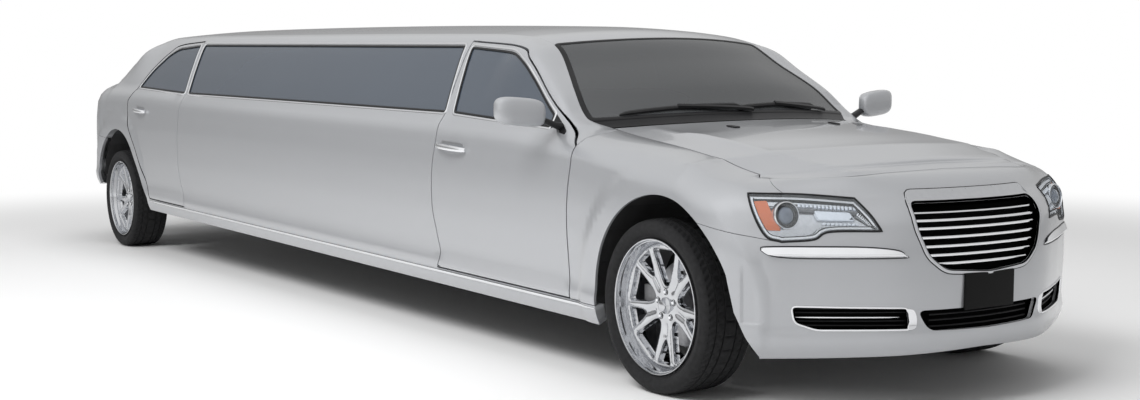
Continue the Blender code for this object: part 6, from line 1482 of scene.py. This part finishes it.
floor_mesh = bpy.data.meshes.new("floor")
floor_mesh.from_pydata([(-60, -60, 0), (60, -60, 0), (60, 60, 0), (-60, 60, 0)], [], [(0, 1, 2, 3)])
floor = bpy.data.objects.new("floor", floor_mesh)
scene.collection.objects.link(floor)
floor_look = bpy.data.materials.new("floor")
floor_look.use_nodes = True
tree = floor_look.node_tree
plain = tree.nodes["Principled BSDF"]
join(tree, plain, (("Base Color", (0.90, 0.90, 0.90, 1.0)), ("Roughness", 0.9), ("Specular IOR Level", 0.1)))
place = add_node(tree, "TexCoord")
flat = add_node(tree, "VectorMath", ((0, place, "Object"),), "LENGTH")
away = add_node(tree, "MapRange", (("From Min", 5.0), ("From Max", 9.0), ("Value", flat, "Value")),
                smooth=True)
path = add_node(tree, "LightPath")
both = add_node(tree, "Math", ((0, away, "Result"), (1, path, "Is Camera Ray")), "MULTIPLY")
glow = add_node(tree, "Emission", (("Color", WHITE),))
far = add_node(tree, "MixShader", (("Fac", both, "Value"), (1, plain, "BSDF"), (2, glow, "Emission")))
join(tree, tree.nodes["Material Output"], (("Surface", far, "Shader"),))
floor_mesh.materials.append(floor_look)

world = bpy.data.worlds.new("studio")
scene.world = world
world.use_nodes = True
tree = world.node_tree
background = tree.nodes["Background"]
join(tree, background, (("Color", WHITE), ("Strength", 0.42)))
path = add_node(tree, "LightPath")
# What gloss and glass show is darker low down behind the car, as the photo's own surroundings are
sky = add_node(tree, "TexCoord")
parts = add_node(tree, "SeparateXYZ", (("Vector", sky, "Generated"),))
shades = [add_node(tree, "MapRange", (("From Min", start), ("From Max", end), ("Value", parts, axis)),
                   smooth=True)
          for axis, start, end in (("X", -0.10, -0.75), ("Z", 0.42, 0.08))]
dark = add_node(tree, "Math", ((0, shades[0], "Result"), (1, shades[1], "Result")), "MULTIPLY")
left = add_node(tree, "Math", ((0, dark, "Value"), (1, -0.55), (2, 1.0)), "MULTIPLY_ADD")
toward = add_node(tree, "VectorMath", ((0, sky, "Generated"), (1, (0.25, -0.75, 0.61))), "DOT_PRODUCT")
lobe = add_node(tree, "MapRange", (
    ("From Min", 0.30), ("From Max", 0.92), ("To Min", 0.66), ("To Max", 1.0), ("Value", toward, "Value"),
), smooth=True)
level = add_node(tree, "Math", ((0, lobe, "Result"), (1, left, "Value")), "MULTIPLY")
strength = add_node(tree, "Math", ((0, level, "Value"), (1, path, "Is Camera Ray")), "MAXIMUM")
white = add_node(tree, "Background", (("Color", WHITE), ("Strength", strength, "Value")))
hidden = add_node(tree, "Math", ((0, path, "Is Glossy Ray"), (1, path, "Is Transmission Ray")), "MAXIMUM")
either = add_node(tree, "Math", ((0, path, "Is Camera Ray"), (1, hidden, "Value")), "MAXIMUM")
blend = add_node(tree, "MixShader", (("Fac", either, "Value"), (1, background, "Background"),
                                     (2, white, "Background")))
join(tree, tree.nodes["World Output"], (("Surface", blend, "Shader"),))


def lamp(name, place, aim, size, power):
    data = bpy.data.lights.new(name, "AREA")
    data.shape = "RECTANGLE"
    data.size, data.size_y = size
    data.energy = power
    made = bpy.data.objects.new(name, data)
    scene.collection.objects.link(made)
    made.location = place
    made.visible_glossy = False
    made.rotation_euler = (Vector(aim) - Vector(place)).to_track_quat("-Z", "Y").to_euler()


lamp("key", (3.0, -7.0, 8.0), (0.0, 0.0, 0.6), (8.0, 4.0), 760.0)
lamp("top", (0.0, 1.0, 9.0), (0.0, 0.0, 0.5), (10.0, 5.0), 220.0)
